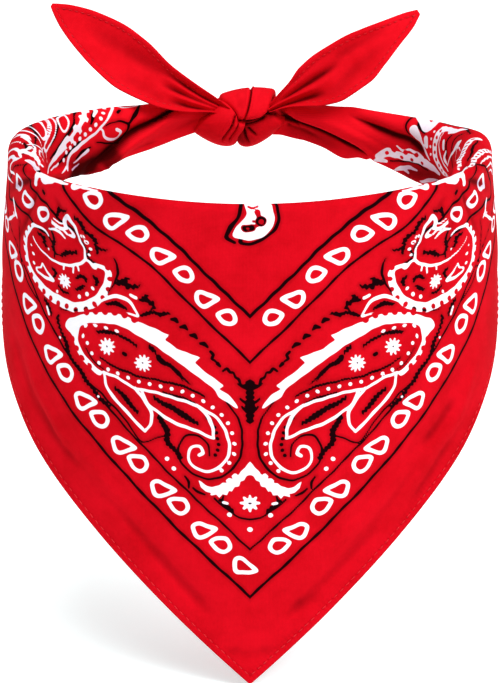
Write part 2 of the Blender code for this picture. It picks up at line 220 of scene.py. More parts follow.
@dataclass(frozen=True)
class RingForm:
    """The form that the cloth takes round a neck, as the frame's solids have it.

    Attributes:
        half_width: From the middle of the ring to its side.
        front_depth: From the middle to the top fold in front.
        back_depth: From the middle to the knot's side.
    """

    half_width: float = 97.5
    front_depth: float = 95.0
    back_depth: float = 60.0
    flare: float = 3.2
    flare_drop: float = 50.0
    hanging_depth: float = 70.5
    hanging_drop: float = 100.0
    lean_in: float = 0.03
    side_sag: float = 3.7
    back_sag: float = 4.2

    def size(self, column: str, phi: np.ndarray) -> np.ndarray:
        """One column of the sections at angles round the ring."""
        return read_column(SECTIONS, column, np.abs(phi))

    def trim(self, column: str, phi: np.ndarray) -> np.ndarray:
        """One column of the side trims at angles round the ring."""
        return read_column(SIDE_TRIMS, column, np.abs(phi))

    def leg_trim(self, phi: np.ndarray) -> np.ndarray:
        """What a leg's length has over the common one on the side of each angle."""
        return np.where(phi < 0, self.trim("left_leg", phi), self.trim("right_leg", phi))

    def outer(self, phi: np.ndarray, drop: np.ndarray) -> Points:
        """The outer face at an angle round the ring and a drop below its top."""
        phi, drop = np.broadcast_arrays(np.asarray(phi, float), np.asarray(drop, float))
        turn = np.abs(phi)
        half_width = self.half_width + self.flare * ramp(drop, 0, self.flare_drop)
        depth = self.front_depth + (self.hanging_depth - self.front_depth) * ramp(drop, 0, self.hanging_drop)
        front = self.lean_in * drop - self.front_depth
        side = (front + depth) * (1 - ramp(turn, pi / 2, radians(140)))
        behind = side - self.back_depth * np.cos(turn)
        y = np.where(turn < pi / 2, front + depth * (1 - np.cos(turn)), behind)
        sag = self.side_sag * ramp(turn, radians(20), pi / 2)
        sag = sag + (self.back_sag - self.side_sag) * ramp(turn, pi / 2, radians(160))
        top = self.size("lift", phi) + np.where(phi > 0, self.trim("right_top", phi), 0) - sag
        return np.stack([half_width * np.sin(phi), y, top - drop], axis=-1)

    def outward(self, phi: np.ndarray, drop: np.ndarray) -> Points:
        """The level unit vectors that point out of the ring."""
        step = 1e-4
        along = self.outer(phi + step, drop) - self.outer(phi - step, drop)
        normal = np.stack([along[..., 1], -along[..., 0], np.zeros_like(along[..., 0])], axis=-1)
        return normal / np.linalg.norm(normal, axis=-1, keepdims=True)


class ClothMap:
    """Places on the tied cloth, found from (q, h)."""

    def __init__(self, form: RingForm) -> None:
        """Measures the ring's arc at every level."""
        self.form = form
        self.turns = np.radians(np.linspace(0, 174.4, 873))
        self.levels = np.arange(0, 213.0, 4.0)
        points = form.outer(-self.turns[:, None], self.levels[None, :])
        steps = np.hypot(*np.moveaxis(np.diff(points[..., :2], axis=0), -1, 0))
        self.arcs = np.concatenate([np.zeros((1, len(self.levels))), np.cumsum(steps, axis=0)])
        self.q_step = 0.5
        self.q_row = np.arange(0, self.arcs[-1].min(), self.q_step)
        self.table = np.stack([np.interp(self.q_row, arc, self.turns) for arc in self.arcs.T], axis=1)

    def turn(self, q: np.ndarray, drop: np.ndarray) -> np.ndarray:
        """The angle round the ring at an arc length and a drop."""
        column = np.clip(np.abs(q) / self.q_step, 0, len(self.q_row) - 1.001)
        level = np.clip(np.asarray(drop) / 4.0, 0, len(self.levels) - 1.001)
        i, j = column.astype(int), level.astype(int)
        u, v = column - i, level - j
        low = self.table[i, j] * (1 - u) + self.table[i + 1, j] * u
        high = self.table[i, j + 1] * (1 - u) + self.table[i + 1, j + 1] * u
        return np.where(np.asarray(q) < 0, -1, 1) * (low * (1 - v) + high * v)

    def roll_length(self, phi: np.ndarray) -> np.ndarray:
        """The length of cloth over the roll at the top."""
        half, height = self.form.size("roll_width", phi) / 2, self.form.size("roll_height", phi)
        return pi * np.sqrt((half**2 + height**2) / 2)

    def inner_end(self, q: np.ndarray) -> np.ndarray:
        """h at the lower edge of the leg that is folded in."""
        phi = self.turn(q, np.zeros_like(q))
        height = self.form.size("roll_height", phi)
        leg = self.form.size("inner_drop", phi) + self.form.leg_trim(phi)
        return height - self.roll_length(phi) - (leg - height)

    def outer_end(self, q: np.ndarray) -> np.ndarray:
        """h at the lower edge of the outer leg: the hem in front, the band's own edge behind."""
        phi = self.turn(q, np.full_like(q, 20.0))
        band = self.form.size("band_drop", phi) + self.form.leg_trim(phi)
        hem = np.maximum(BIB_DROP - np.abs(q), 0)
        return band + 4.0 * np.logaddexp(0, (hem - band) / 4.0)

    def base(self, q: np.ndarray, h: np.ndarray) -> Points:
        """The smooth cloth at (q, h), before its creases."""
        q, h = np.broadcast_arrays(np.asarray(q, float), np.asarray(h, float))
        form = self.form
        crown_phi = self.turn(q, np.full(q.shape, 3.0))
        height, width = form.size("roll_height", crown_phi), form.size("roll_width", crown_phi)
        arc = self.roll_length(crown_phi)
        outside = h >= height
        phi = np.where(outside, self.turn(q, np.maximum(h, 0)), crown_phi)
        face = form.outer(phi, np.where(outside, h, height))
        normal = form.outward(phi, np.where(outside, h, height))
        up = np.array((0.0, 0.0, 1.0))
        round_share = np.clip((height - h) / arc, 0, 1) * pi
        over = (
            -normal * (width / 2)[..., None] * (1 - np.cos(round_share))[..., None]
            + up * (np.sin(round_share) * height)[..., None]
        )
        below = np.maximum((height - arc) - h, 0)
        back = below * 1.5 * form.lean_in * (1 - ramp(np.abs(crown_phi), radians(40), radians(75)))
        folded = face + over - up * below[..., None] - normal * back[..., None]
        return np.where(outside[..., None], face, folded)

    def frame(self, q: np.ndarray, h: np.ndarray) -> tuple[Points, Points]:
        """The smooth cloth and its outward normals."""
        step = 0.4
        point = self.base(q, h)
        along = self.base(q + step, h) - self.base(q - step, h)
        down = self.base(q, h + step) - self.base(q, h - step)
        normal = np.cross(down, along)
        normal /= np.linalg.norm(normal, axis=-1, keepdims=True) + 1e-12
        return point, normal


# ------------------------------------------------------------------------------------------- creases


class Crease(NamedTuple):
    """A trough (depth over 0) or a ridge (under 0) laid along a path on the cloth."""

    path: tuple[Place, ...]
    depth: float
    width: float
    ends: tuple[float, float] = (0.3, 0.3)  # shares of the path over which it fades in and out
    lean: float = 0.0  # raises the cloth beside the path: over 0 on its left, under 0 on its right
    opening: float = 1.0  # how many times as wide it is at its end as at its start
    step: float = 0.0  # how far a ply on its right stands out over the cloth on its left


def creases(table: str) -> tuple[Crease, ...]:
    """Creases from rows of: path | depth, width, both ends, lean, opening, step."""
    rows = []
    for path, sizes in split_rows(table):
        depth, width, *more = map(float, sizes.split())
        ends = tuple(more[:2]) or Crease._field_defaults["ends"]
        rows.append(Crease(places(path), depth, width, ends, *more[2:]))
    return tuple(rows)


def path_distance(points: Points, path: Points) -> tuple[np.ndarray, np.ndarray]:
    """How far points lie from a path, with a sign, and how far along it.

    Args:
        points: Places in the plane, one a row.
        path: The path's places, one a row.

    Returns:
        The distance, over 0 on the path's left, and the share of the path at the nearest place.
    """
    starts, steps = path[:-1], np.diff(path, axis=0)
    lengths = np.hypot(*steps.T)
    before = np.concatenate([[0], np.cumsum(lengths)])
    best = np.full(len(points), np.inf)
    sign, share = np.ones(len(points)), np.zeros(len(points))
    for start, step, length, travelled in zip(starts, steps, lengths, before):
        away = points - start
        along = np.clip(away @ step / max(length**2, 1e-12), 0, 1)
        gap = away - along[:, None] * step
        distance = gap[:, 0] ** 2 + gap[:, 1] ** 2
        closer = distance < best
        best = np.where(closer, distance, best)
        sign = np.where(closer, np.sign(step[0] * away[:, 1] - step[1] * away[:, 0]), sign)
        share = np.where(closer, (travelled + along * length) / before[-1], share)
    return np.sqrt(best) * sign, share


def crease_relief(points: Points, creases: Iterable[Crease]) -> np.ndarray:
    """How far creases move the cloth outwards.

    Args:
        points: Places on the cloth, one a row.
        creases: The creases.

    Returns:
        One height for each point.
    """
    relief = np.zeros(len(points))
    for crease in creases:
        path = smooth_path(crease.path, step=4.0)
        reach = (9.0 if crease.step else 3.2) * crease.width * max(crease.opening, 1)
        low, high = path.min(axis=0) - reach, path.max(axis=0) + reach
        near = np.flatnonzero(((points > low) & (points < high)).all(axis=1))
        if not len(near):
            continue
        distance, share = path_distance(points[near], path)
        fade = ramp(share, 0, crease.ends[0] + 1e-6) * (1 - ramp(share, 1 - crease.ends[1] - 1e-6, 1))
        distance = distance / (crease.width * (1 + (crease.opening - 1) * share))
        step = crease.lean * distance * np.exp(-((distance / 1.4) ** 2))
        ply = crease.step * ramp(-distance, -0.45, 0.45) * np.exp(-((distance / 4.5) ** 2))
        relief[near] += fade * (crease.depth * (step - np.exp(-(distance**2))) + ply)
    return relief


class Shade(NamedTuple):
    """Where little light gets in between the folds: a soft dark line along a path on the cloth."""

    path: tuple[Place, ...]
    strength: float
    width: float
    opening: float = 1.0  # how many times as wide it is at its end as at its start
    cut: float = 0.0  # how much sharper it ends on its right, where a fold's edge covers it


def shades(table: str) -> tuple[Shade, ...]:
    """Shades from rows of: path | strength, width, opening, cut."""
    return tuple(Shade(places(path), *map(float, sizes.split())) for path, sizes in split_rows(table))


def shade_depth(points: Points, shades: Iterable[Shade]) -> np.ndarray:
    """How dark the shades make each place on the cloth."""
    depth = np.zeros(len(points))
    for shade in shades:
        distance, share = path_distance(points, smooth_path(shade.path, step=4.0))
        distance = distance / (shade.width * (1 + (shade.opening - 1) * share))
        distance = np.where(distance < 0, distance * (1 + shade.cut), distance)
        fade = ramp(share, -0.01, 0.25) * (1 - ramp(share, 0.75, 1.01))
        depth += shade.strength * fade * np.exp(-(distance**2))
    return depth


FORM = RingForm()
CLOTH = ClothMap(FORM)


# ------------------------------------------------------------------------------------------- meshes


def rim_loop(rows: np.ndarray, first: np.ndarray) -> np.ndarray:
    """Point numbers round a grid whose columns may have different lengths.

    Args:
        rows: How many points each column has.
        first: The number of each column's first point.

    Returns:
        The numbers in order, with no number twice.
    """
    last = np.arange(first[-1] + 1, first[-1] + rows[-1] - 1)
    bottom = (first + rows - 1)[::-1]
    start = np.arange(first[0] + rows[0] - 2, first[0], -1)
    return np.concatenate([first, last, bottom, start])


def grid_faces(rows: np.ndarray, first: np.ndarray) -> list[tuple[int, ...]]:
    """Faces between neighbouring columns, which may differ by one point where the hem cuts them."""
    faces: list[tuple[int, ...]] = []
    for column in range(len(rows) - 1):
        count = int(min(rows[column], rows[column + 1]))
        here, there = first[column] + np.arange(count - 1), first[column + 1] + np.arange(count - 1)
        faces += np.stack([here, here + 1, there + 1, there], axis=1).tolist()
        a, b = int(first[column] + count - 1), int(first[column + 1] + count - 1)
        if rows[column + 1] > count:
            faces.append((a, b + 1, b))
        elif rows[column] > count:
            faces.append((a, a + 1, b))
    return faces


def shell(
    name: str,
    face: list[Points],
    back: list[Points],
    coarse: int,
    values: dict[str, list[np.ndarray]],
    normals: list[Points] | None = None,
) -> bpy.types.Object:
    """A closed thin shell of cloth with a fine outer face and a coarser back.

    Args:
        name: The piece's name.
        face: The outer face's columns of points, in millimetres.
        back: The back's columns, one for every `coarse` columns of the face.
        coarse: How many steps of the face one step of the back spans.
        values: Columns of numbers or vectors for each attribute of the outer face.
        normals: Columns of normals for the outer face, if it has a seam to hide.

    Returns:
        The new object, at the origin.
    """
    rows = np.array([len(column) for column in face])
    back_rows = np.array([len(column) for column in back])
    first = np.concatenate([[0], np.cumsum(rows)[:-1]])
    under = int(rows.sum())
    back_first = under + np.concatenate([[0], np.cumsum(back_rows)[:-1]])
    faces = grid_faces(rows, first)
    faces += [loop[::-1] for loop in grid_faces(back_rows, back_first)]
    fine, rough = rim_loop(rows, first), rim_loop(back_rows, back_first)
    assert len(fine) == coarse * len(rough), (name, len(fine), len(rough))
    fine, rough = np.append(fine, fine[0]).tolist(), np.append(rough, rough[0]).tolist()
    for j in range(len(rough) - 1):
        middle = j * coarse + coarse // 2
        for i in range(j * coarse, (j + 1) * coarse):
            faces.append((fine[i], fine[i + 1], rough[j] if i < middle else rough[j + 1]))
        faces.append((fine[middle], rough[j + 1], rough[j]))
    points = np.concatenate([*face, *back]) * MM
    piece = add_piece(name, points, faces)
    for label, columns in values.items():
        flat = np.concatenate(columns)
        pad = np.full((len(points) - under, *flat.shape[1:]), FAR)
        write_attribute(piece, label, np.concatenate([flat, pad]))
    if normals is not None:
        own = np.zeros(3 * len(points), np.float32)
        piece.data.vertices.foreach_get("normal", own)
        own = own.reshape(-1, 3)
        own[:under] = np.concatenate(normals)
        piece.data.normals_split_custom_set_from_vertices(own.tolist())
    return piece


def add_piece(name: str, points: Points, faces: Sequence[Sequence[int]]) -> bpy.types.Object:
    """Makes a smooth-shaded mesh object at the origin."""
    mesh = bpy.data.meshes.new(name)
    mesh.from_pydata(points.tolist(), [], faces)
    mesh.shade_smooth()
    piece = bpy.data.objects.new(name, mesh)
    bpy.context.scene.collection.objects.link(piece)
    return piece


def write_attribute(piece: bpy.types.Object, name: str, values: np.ndarray) -> None:
    """Stores one number or vector for each point of a piece."""
    kind, key = ("FLOAT", "value") if values.ndim == 1 else ("FLOAT_VECTOR", "vector")
    piece.data.attributes.new(name, kind, "POINT").data.foreach_set(key, values.astype(np.float32).ravel())


def grid_normals(grid: Points) -> Points:
    """Unit normals of a grid (columns, rows, 3), to the left of its columns seen down the rows."""
    normal = np.cross(np.gradient(grid, axis=1), np.gradient(grid, axis=0))
    return normal / (np.linalg.norm(normal, axis=-1, keepdims=True) + 1e-12)


def hollow(grid: Points, normals: Points) -> np.ndarray:
    """How deep each point of a grid lies between the folds round it, from 0 to 1. The finishes darken by it
    as painted shade.
    """
    depth = np.zeros(grid.shape[:2])
    for step, gain in ((1, 2.6), (3, 1.1), (7, 0.5)):
        wide = np.pad(grid, ((step, step), (step, step), (0, 0)), mode="edge")
        mid = slice(step, -step)
        after, before = slice(2 * step, None), slice(None, -2 * step)
        around = wide[after, mid] + wide[before, mid] + wide[mid, after] + wide[mid, before]
        depth += gain * np.maximum(((around / 4 - grid) * normals).sum(-1) - 0.01, 0)
    return np.clip(depth, 0, 1)


# --------------------------------------------------------------------------------------- the printing

FAR = 6.0
Width = float | tuple[float, ...]


class Colour(Enum):
    """The two inks."""

    WHITE = "white_ink"
    BLACK = "black_ink"


def spread(widths: np.ndarray, share: np.ndarray | float) -> np.ndarray:
    """The width at shares of a line that has widths spread evenly along it."""
    return np.interp(share, np.linspace(0, 1, len(widths)), widths) if len(widths) > 1 else widths[0]


class Ink:
    """Signed distances to the two inks, under 0 inside them, at places on the cloth."""

    def __init__(self, places: Points) -> None:
        """Sorts the places into cells.

        Args:
            places: (x, y) of each point of the cloth, in millimetres.
        """
        wobble = 0.16 * np.sin(places[:, ::-1] / 2.3 + 1.0) + 0.10 * np.sin(places[:, ::-1] / 0.9 + 2.0)
        self.places = places + wobble
        self.inks = {colour: np.full(len(places), FAR) for colour in Colour}
        self.cell = 6.0
        cells = np.floor(self.places / self.cell).astype(int)
        order = np.lexsort(cells.T)
        keys, starts = np.unique(cells[order], axis=0, return_index=True)
        ends = np.append(starts[1:], len(order))
        self.cells = {tuple(k): order[a:b] for k, a, b in zip(keys.tolist(), starts, ends)}

    def near(self, path: Points, reach: float) -> np.ndarray:
        """Numbers of the places in the cells round a path."""
        low = np.floor((path.min(axis=0) - reach) / self.cell).astype(int)
        high = np.floor((path.max(axis=0) + reach) / self.cell).astype(int)
        found = [
            self.cells[i, j]
            for i in range(low[0], high[0] + 1)
            for j in range(low[1], high[1] + 1)
            if (i, j) in self.cells
        ]
        return np.concatenate(found) if found else np.empty(0, int)

    def merge(self, colour: Colour, near: np.ndarray, distance: np.ndarray, clear: bool) -> None:
        """Adds a shape to an ink, or takes it away."""
        held = self.inks[colour]
        held[near] = np.maximum(held[near], -distance) if clear else np.minimum(held[near], distance)

    def stroke(self, colour: Colour, path: Points, width: Width, clear: bool = False) -> None:
        """Draws a line along a path.

        Args:
            colour: The ink.
            path: The path's points.
            width: The line's width, or widths spread evenly along it.
            clear: Takes the line away in place of adding it.
        """
        widths = np.atleast_1d(np.asarray(width, float))
        near = self.near(path, widths.max() / 2 + 2.0)
        if not len(near):
            return
        distance, share = path_distance(self.places[near], path)
        self.merge(colour, near, np.abs(distance) - spread(widths, share) / 2, clear)

    def ring(self, outline: Points, width: float) -> None:
        """Draws a white line round a closed outline."""
        self.stroke(Colour.WHITE, np.concatenate([outline, outline[:1]]), width)

    def overlay(self, at: np.ndarray, inks: dict[Colour, np.ndarray]) -> None:
        """Adds another print's two inks at the places with these numbers."""
        for colour, distance in inks.items():
            self.inks[colour][at] = np.minimum(self.inks[colour][at], distance)

    def fill(self, colour: Colour, outline: Points, clear: bool = False, grow: float = 0.0) -> None:
        """Fills a closed outline.

        Args:
            colour: The ink.
            outline: The outline's points.
            clear: Takes the shape away in place of adding it.
            grow: How far the filled shape reaches past the outline.
        """
        near = self.near(outline, 2.0 + max(grow, 0))
        if not len(near):
            return
        points = self.places[near]
        starts, ends = outline, np.roll(outline, -1, axis=0)
        best = np.full(len(points), np.inf)
        inside = np.zeros(len(points), bool)
        for start, end in zip(starts, ends):
            step, away = end - start, points - start
            along = np.clip(away @ step / max(step @ step, 1e-12), 0, 1)
            gap = away - along[:, None] * step
            best = np.minimum(best, gap[:, 0] ** 2 + gap[:, 1] ** 2)
            if start[1] != end[1]:
                spans = (points[:, 1] < start[1]) != (points[:, 1] < end[1])
                cross = start[0] + (points[:, 1] - start[1]) * step[0] / step[1]
                inside ^= spans & (points[:, 0] < cross)
        distance = np.sqrt(best) * np.where(inside, -1, 1)
        self.merge(colour, near, distance - grow, clear)

    def dot(self, colour: Colour, centre: Place, radius: float, clear: bool = False) -> None:
        """Draws a round dot."""
        middle = np.array([centre])
        near = self.near(middle, radius + 2.0)
        if len(near):
            self.merge(colour, near, np.hypot(*(self.places[near] - middle).T) - radius, clear)


def turned(shape: Points, centre: Place, angle: float, scale: float = 1.0) -> Points:
    """A shape moved from the origin to a place, turned by an angle in degrees and scaled."""
    c, s = cos(radians(angle)), sin(radians(angle))
    return np.asarray(shape, float) @ np.array(((c, s), (-s, c))) * scale + centre


def along_path(
    path: Points, pitch: float, start: float = 0.0, end: float = 0.0
) -> list[tuple[Points, float]]:
    """Places evenly spaced on a path with the path's heading there, in degrees."""
    lengths = np.concatenate([[0], np.cumsum(np.hypot(*np.diff(path, axis=0).T))])
    spots = []
    for at in np.arange(start, lengths[-1] - end, pitch):
        place = np.array([np.interp(at, lengths, path[:, k]) for k in (0, 1)])
        ahead = np.array([np.interp(at + 0.5, lengths, path[:, k]) for k in (0, 1)])
        behind = np.array([np.interp(at - 0.5, lengths, path[:, k]) for k in (0, 1)])
        spots.append((place, degrees(atan2(*(ahead - behind)[::-1]))))
    return spots


@dataclass(frozen=True)
class Flower:
    """A small white flower with square-ended petals and a dark eye."""

    centre: Place
    radius: float = 3.4
    petals: int = 9
    eye: float = 0.45

    def draw(self, ink: Ink) -> None:
        """Prints the flower."""
        angle = np.linspace(0, 2 * pi, self.petals * 12, endpoint=False)
        wave = np.clip(1.6 * np.cos(self.petals * angle), -1, 1)
        reach = self.radius * (0.80 + 0.20 * wave)
        outline = np.stack([reach * np.cos(angle), reach * np.sin(angle)], axis=1) + self.centre
        ink.fill(Colour.WHITE, outline)
        ink.dot(Colour.WHITE, self.centre, self.eye, clear=True)
        ink.dot(Colour.BLACK, self.centre, self.eye)


class PebbleForm(Enum):
    """The two forms that the pebbles of a border take in turn."""

    DROP = places("-3.3,2.4 -3.5,-0.9 -2.1,-2.7 0.9,-2 3.9,-0.9 3.9,-0.3 1.2,1.6 -1.2,2.9")
    STONE = places("-3.1,1.3 -3.2,0.2 -1.1,-2.1 1.5,-2.7 3.1,-1.4 3.2,0.8 1.7,2.6 -1,2.5")


@dataclass(frozen=True)
class PebbleRow:
    """A border of hollow pebbles in pairs between two black rules, parallel to the hem.

    Attributes:
        middle: The row's distance from the hem.
        starts: Where the first pair's two pebbles are, along the hem from the tip.
        pitch: From one pair to the next.
        pairs: How many pairs.
        size: How large the pebbles are.
    """

    middle: float
    starts: tuple[float, float]
    pairs: int
    pitch: float = 23.3
    ring: float = 1.75
    size: float = 1.0

    def draw(self, ink: Ink) -> None:
        """Prints the row."""
        for pair in range(self.pairs):
            for form, start in zip((PebbleForm.STONE, PebbleForm.DROP), self.starts):
                along = start + pair * self.pitch
                nudge = 0.5 * sin(2.1 * along)
                across = self.middle + 0.35 * sin(1.3 * along)
                centre = ((along - across) / sqrt(2), (along + across) / sqrt(2))
                tilt = (-14 if form is PebbleForm.DROP else 8) + 9 * nudge
                outline = smooth_path(form.value, step=0.6, closed=True) * (-1, 1)
                ring = turned(outline, centre, tilt, self.size * (1.0 + 0.05 * nudge))
                ink.ring(ring, self.ring)


@dataclass(frozen=True)
class Rule:
    """A black line parallel to the hem."""

    distance: float
    width: float

    def draw(self, ink: Ink) -> None:
        """Prints the line."""
        x, y = ink.places.T
        gap = np.abs((y - x) / sqrt(2) - self.distance) - self.width / 2
        ink.merge(Colour.BLACK, np.arange(len(x)), np.minimum(gap, FAR), clear=False)


def oval(length: float, height: float, place: Place, heading: float) -> Points:
    """The outline of an oval, half its length and half its height, turned to a heading."""
    corners = ((-length, 0), (0, height), (length, 0), (0, -height))
    return smooth_path(turned(np.array(corners), place, heading), 0.4, closed=True)


def scribble(path: Points, pitch: float, swing: float, seed: float) -> Points:
    """An uneven zigzag along a path, as a brush leaves it."""
    points = []
    for number, (place, heading) in enumerate(along_path(path, pitch)):
        side = 1 if number % 2 else -1
        reach = side * swing * (0.65 + 0.35 * sin(seed + 2.7 * number))
        turn = radians(heading + 90)
        points.append(place + reach * np.array((cos(turn), sin(turn))))
    return np.array(points)


class Motif(NamedTuple):
    """A curve of the print.

    Attributes:
        colour: Its ink.
        path: Its places.
        width: Its width, or widths spread evenly along it.
        clear: Whether it is cut out of the ink.
        rough: How far it swings from side to side.
        holes: Over 0, the pitch of a row of holes in it, which makes it a rope.
    """

    colour: Colour
    path: tuple[Place, ...]
    width: Width
    clear: bool = False
    rough: float = 0.0
    holes: float = 0.0

    def draw(self, ink: Ink) -> None:
        """Prints the curve."""
        path = smooth_path(self.path)
        line = scribble(path, 0.55 + 0.4 * self.rough, self.rough, path[0, 0]) if self.rough else path
        ink.stroke(self.colour, line, self.width, self.clear)
        widths = np.atleast_1d(np.asarray(self.width, float))
        spots = along_path(path, self.holes, self.holes * 0.6) if self.holes else []
        for number, (place, heading) in enumerate(spots):
            size = float(spread(widths, number / max(len(spots) - 1, 1))) / 2
            ink.fill(self.colour, oval(0.3 * self.holes, 0.52 * size, place, heading), clear=True)


def motifs(table: str) -> tuple[Motif, ...]:
    """Motifs from rows of: ink letter, path | widths | rough, holes or clear.

    The letter is W for white and K for black. The places in these tables and in the outlines below are
    measured ones that were carried over from scratch work: no rule in this file gives them.
    """
    inks = {"W": Colour.WHITE, "K": Colour.BLACK}
    rows = []
    for curve, sizes, *notes in split_rows(table):
        letter, path = curve.split(maxsplit=1)
        widths = tuple(map(float, sizes.split()))
        marks = [note.split() for note in notes]
        extras = {mark: float(value[0]) if value else True for mark, *value in marks}
        rows.append(Motif(inks[letter], places(path), widths, **extras))
    return tuple(rows)


@dataclass(frozen=True)
class BigPaisley:
    """The large paisley on each side of the bib, which curls into a scroll near the middle."""

    eye_pitch: float = 5.6
    bead_pitch: float = 4.45
    bead: float = 0.82

    FIELD = places("""
        69.5,149 70.5,143 66,137 60,133 53,131 46,128.5 39,127.5 31,126 24,124 16.5,120 11,113.5 9,120 14,130
        21,135.5 29.5,141.8 39,147.2 48,151.6 56,152.8 63.5,151.8
    """)
    RIM = places("""
        75.4,151.4 77.4,147.6 73.6,145 71.5,140 67,134.5 60,131 60,138 66,148.5 48,150 36,144.5 22,134.5
        8,124 4.5,122.5 7.5,127 13,131 17,136.5 22,141 29,146.5 35,150.5 43,155 50,157 58,157.2 65,155.6
        71,153.2
    """)
    TEETH = places("""
        4.6,122.4 12.6,129.8 10,131.6 21.2,140.6 19,142.9 26,145 33.6,148.4 31,151.2 37.6,153.4 44,155.6
        42,151 30,142.8 20,134.8 10,126.2
    """)
    CURVE = places("""
        58.5,132.5 53,131 46,128 39,127 32,126 24.5,124 18,121.5 13,118 9.7,113 8.1,108 8.2,103 10.3,98.5
        14,95.4 18.5,94.8 22.5,97 24.2,101 22.6,104.8 19.4,105.2 18.4,102.8 20,101.4
    """)
    BEADS = places("""
        66,143 62,137.2 56,133.8 49,131.8 42,130.4 35,129.6 28,128.7 21.5,126.6 15.5,123.4 10.3,118.4
        7.2,112.6 6,107 6.6,101.5 9,97 13,93.9
    """)
    LINE = places("""
        9,124.6 5.2,119 3.1,112.5 3.1,105.5 5,99 9,93.8 14.5,91.6 20,92.2 25,95.6 27.8,100.6 27.6,105.4
        24.4,109.6 19.8,109.8 16.2,106.4 16,101.6
    """)
    INSIDE = motifs("""
        K 61.5,148.9 57,149.2 50,148.2 44,145 | 0.8 1.3 0.8 1 0.6 | rough 0.6
        K 39.6,145.6 36,142.8 | 0.9 1.3 0.6 | rough 0.7
        K 35.4,141.4 33.6,139.8 30,138.4 27,134.8 23,131.2 | 2.4 1.6 1.3 0.8 0.6 | rough 0.3
        K 29,138 27,136 26,132.4 | 1 0.8 0.5
        K 60,138.4 54,135.4 47,133.6 39,132.2 31,131.6 24,129.8 17,126.6 | 0.6 0.9 0.7 0.9 0.7 | rough 0.4
        K 66.8,141 63,136.4 58,133.4 | 0.4 0.7 0.4
        K 49.8,141.4 49,141 | 1.6
        K 21,123.8 27,125.9 34,127.6 | 0.5 0.8 0.5 | rough 0.4
    """)

    def draw(self, ink: Ink) -> None:
        """Prints the paisley."""
        ink.fill(Colour.WHITE, smooth_path(self.RIM, closed=True))
        ink.fill(Colour.WHITE, np.array(self.TEETH))
        ink.fill(Colour.WHITE, smooth_path(self.FIELD, closed=True), clear=True)
        bites = smooth_path(places("67,155.8 61,157.6 54,158 48,157.4 43,155.8"))
        for place, _ in along_path(bites, 4.3, start=0.8):
            ink.dot(Colour.WHITE, place + np.array((0, -0.5)), 1.35, clear=True)
        holes = smooth_path(((73.6, 144.4), (69.4, 137.8), (64.6, 133.6)))
        for place, heading in along_path(holes, 4.4, start=0.6):
            ink.fill(Colour.WHITE, oval(1.4, 1.0, place, heading), clear=True)
        curve = smooth_path(self.CURVE)
        ink.stroke(Colour.WHITE, curve, (1.2, 1.1, 1.2, 1.3, 1.1, 1.2, 1.3, 1.0, 1.4))
        for place, _ in along_path(smooth_path(self.BEADS), self.bead_pitch):
            ink.dot(Colour.WHITE, place, self.bead)
        eyes = smooth_path(places("68.3,145.6 67.4,149.4 63.4,151 57.5,151 51.5,149.8"))
        for place, heading in along_path(eyes, self.eye_pitch * 0.86):
            ink.fill(Colour.WHITE, oval(1.15, 0.7, place, heading))
        ink.stroke(Colour.BLACK, smooth_path(self.LINE), (0.7, 0.9, 1.0, 0.9, 0.8, 0.9, 0.7))
        for motif in self.INSIDE:
            motif.draw(ink)
        Flower((57, 143.4), 3.7, 10).draw(ink)
        Flower((41.6, 138.5), 3.7, 11).draw(ink)


@dataclass(frozen=True)
class Leaf:
    """A leaf in white outline with a row of black strokes down its middle."""

    outline: tuple[Place, ...]
    vein: tuple[Place, ...] = ()
    width: float = 1.15
    dots: float = 1.3

    def draw(self, ink: Ink) -> None:
        """Prints the leaf."""
        widths = (self.width * 0.9, self.width * 1.25, self.width)
        ink.stroke(Colour.WHITE, smooth_path(self.outline), widths)
        if self.vein:
            Motif(Colour.BLACK, self.vein, (0.9, self.dots, self.dots * 1.2, 0.8), rough=0.8).draw(ink)


LEAVES = (
    Leaf(
        places("58.4,132 57.4,127.4 53.4,121.6 47.6,116 41,109.8"),
        places("53.6,126.4 48.6,122.4 43.6,117"),
    ),
    Leaf(places("41,109.8 38.8,113.6 38.8,118.4 41.6,123.6 45.2,128")),
    Leaf(
        places("42.2,127 39.6,121.4 33.4,117 26,113.6 19.6,111.6 13.8,109.2"),
        places("37.4,124.6 31,121.4 25,118 19.6,114.4"),
        dots=1.6,
    ),
    Leaf(places("13.8,109.2 14.6,114.4 17,119.4 20.4,122.8")),
)


class Dot(NamedTuple):
    """A round dot of the print."""

    x: float
    y: float
    radius: float


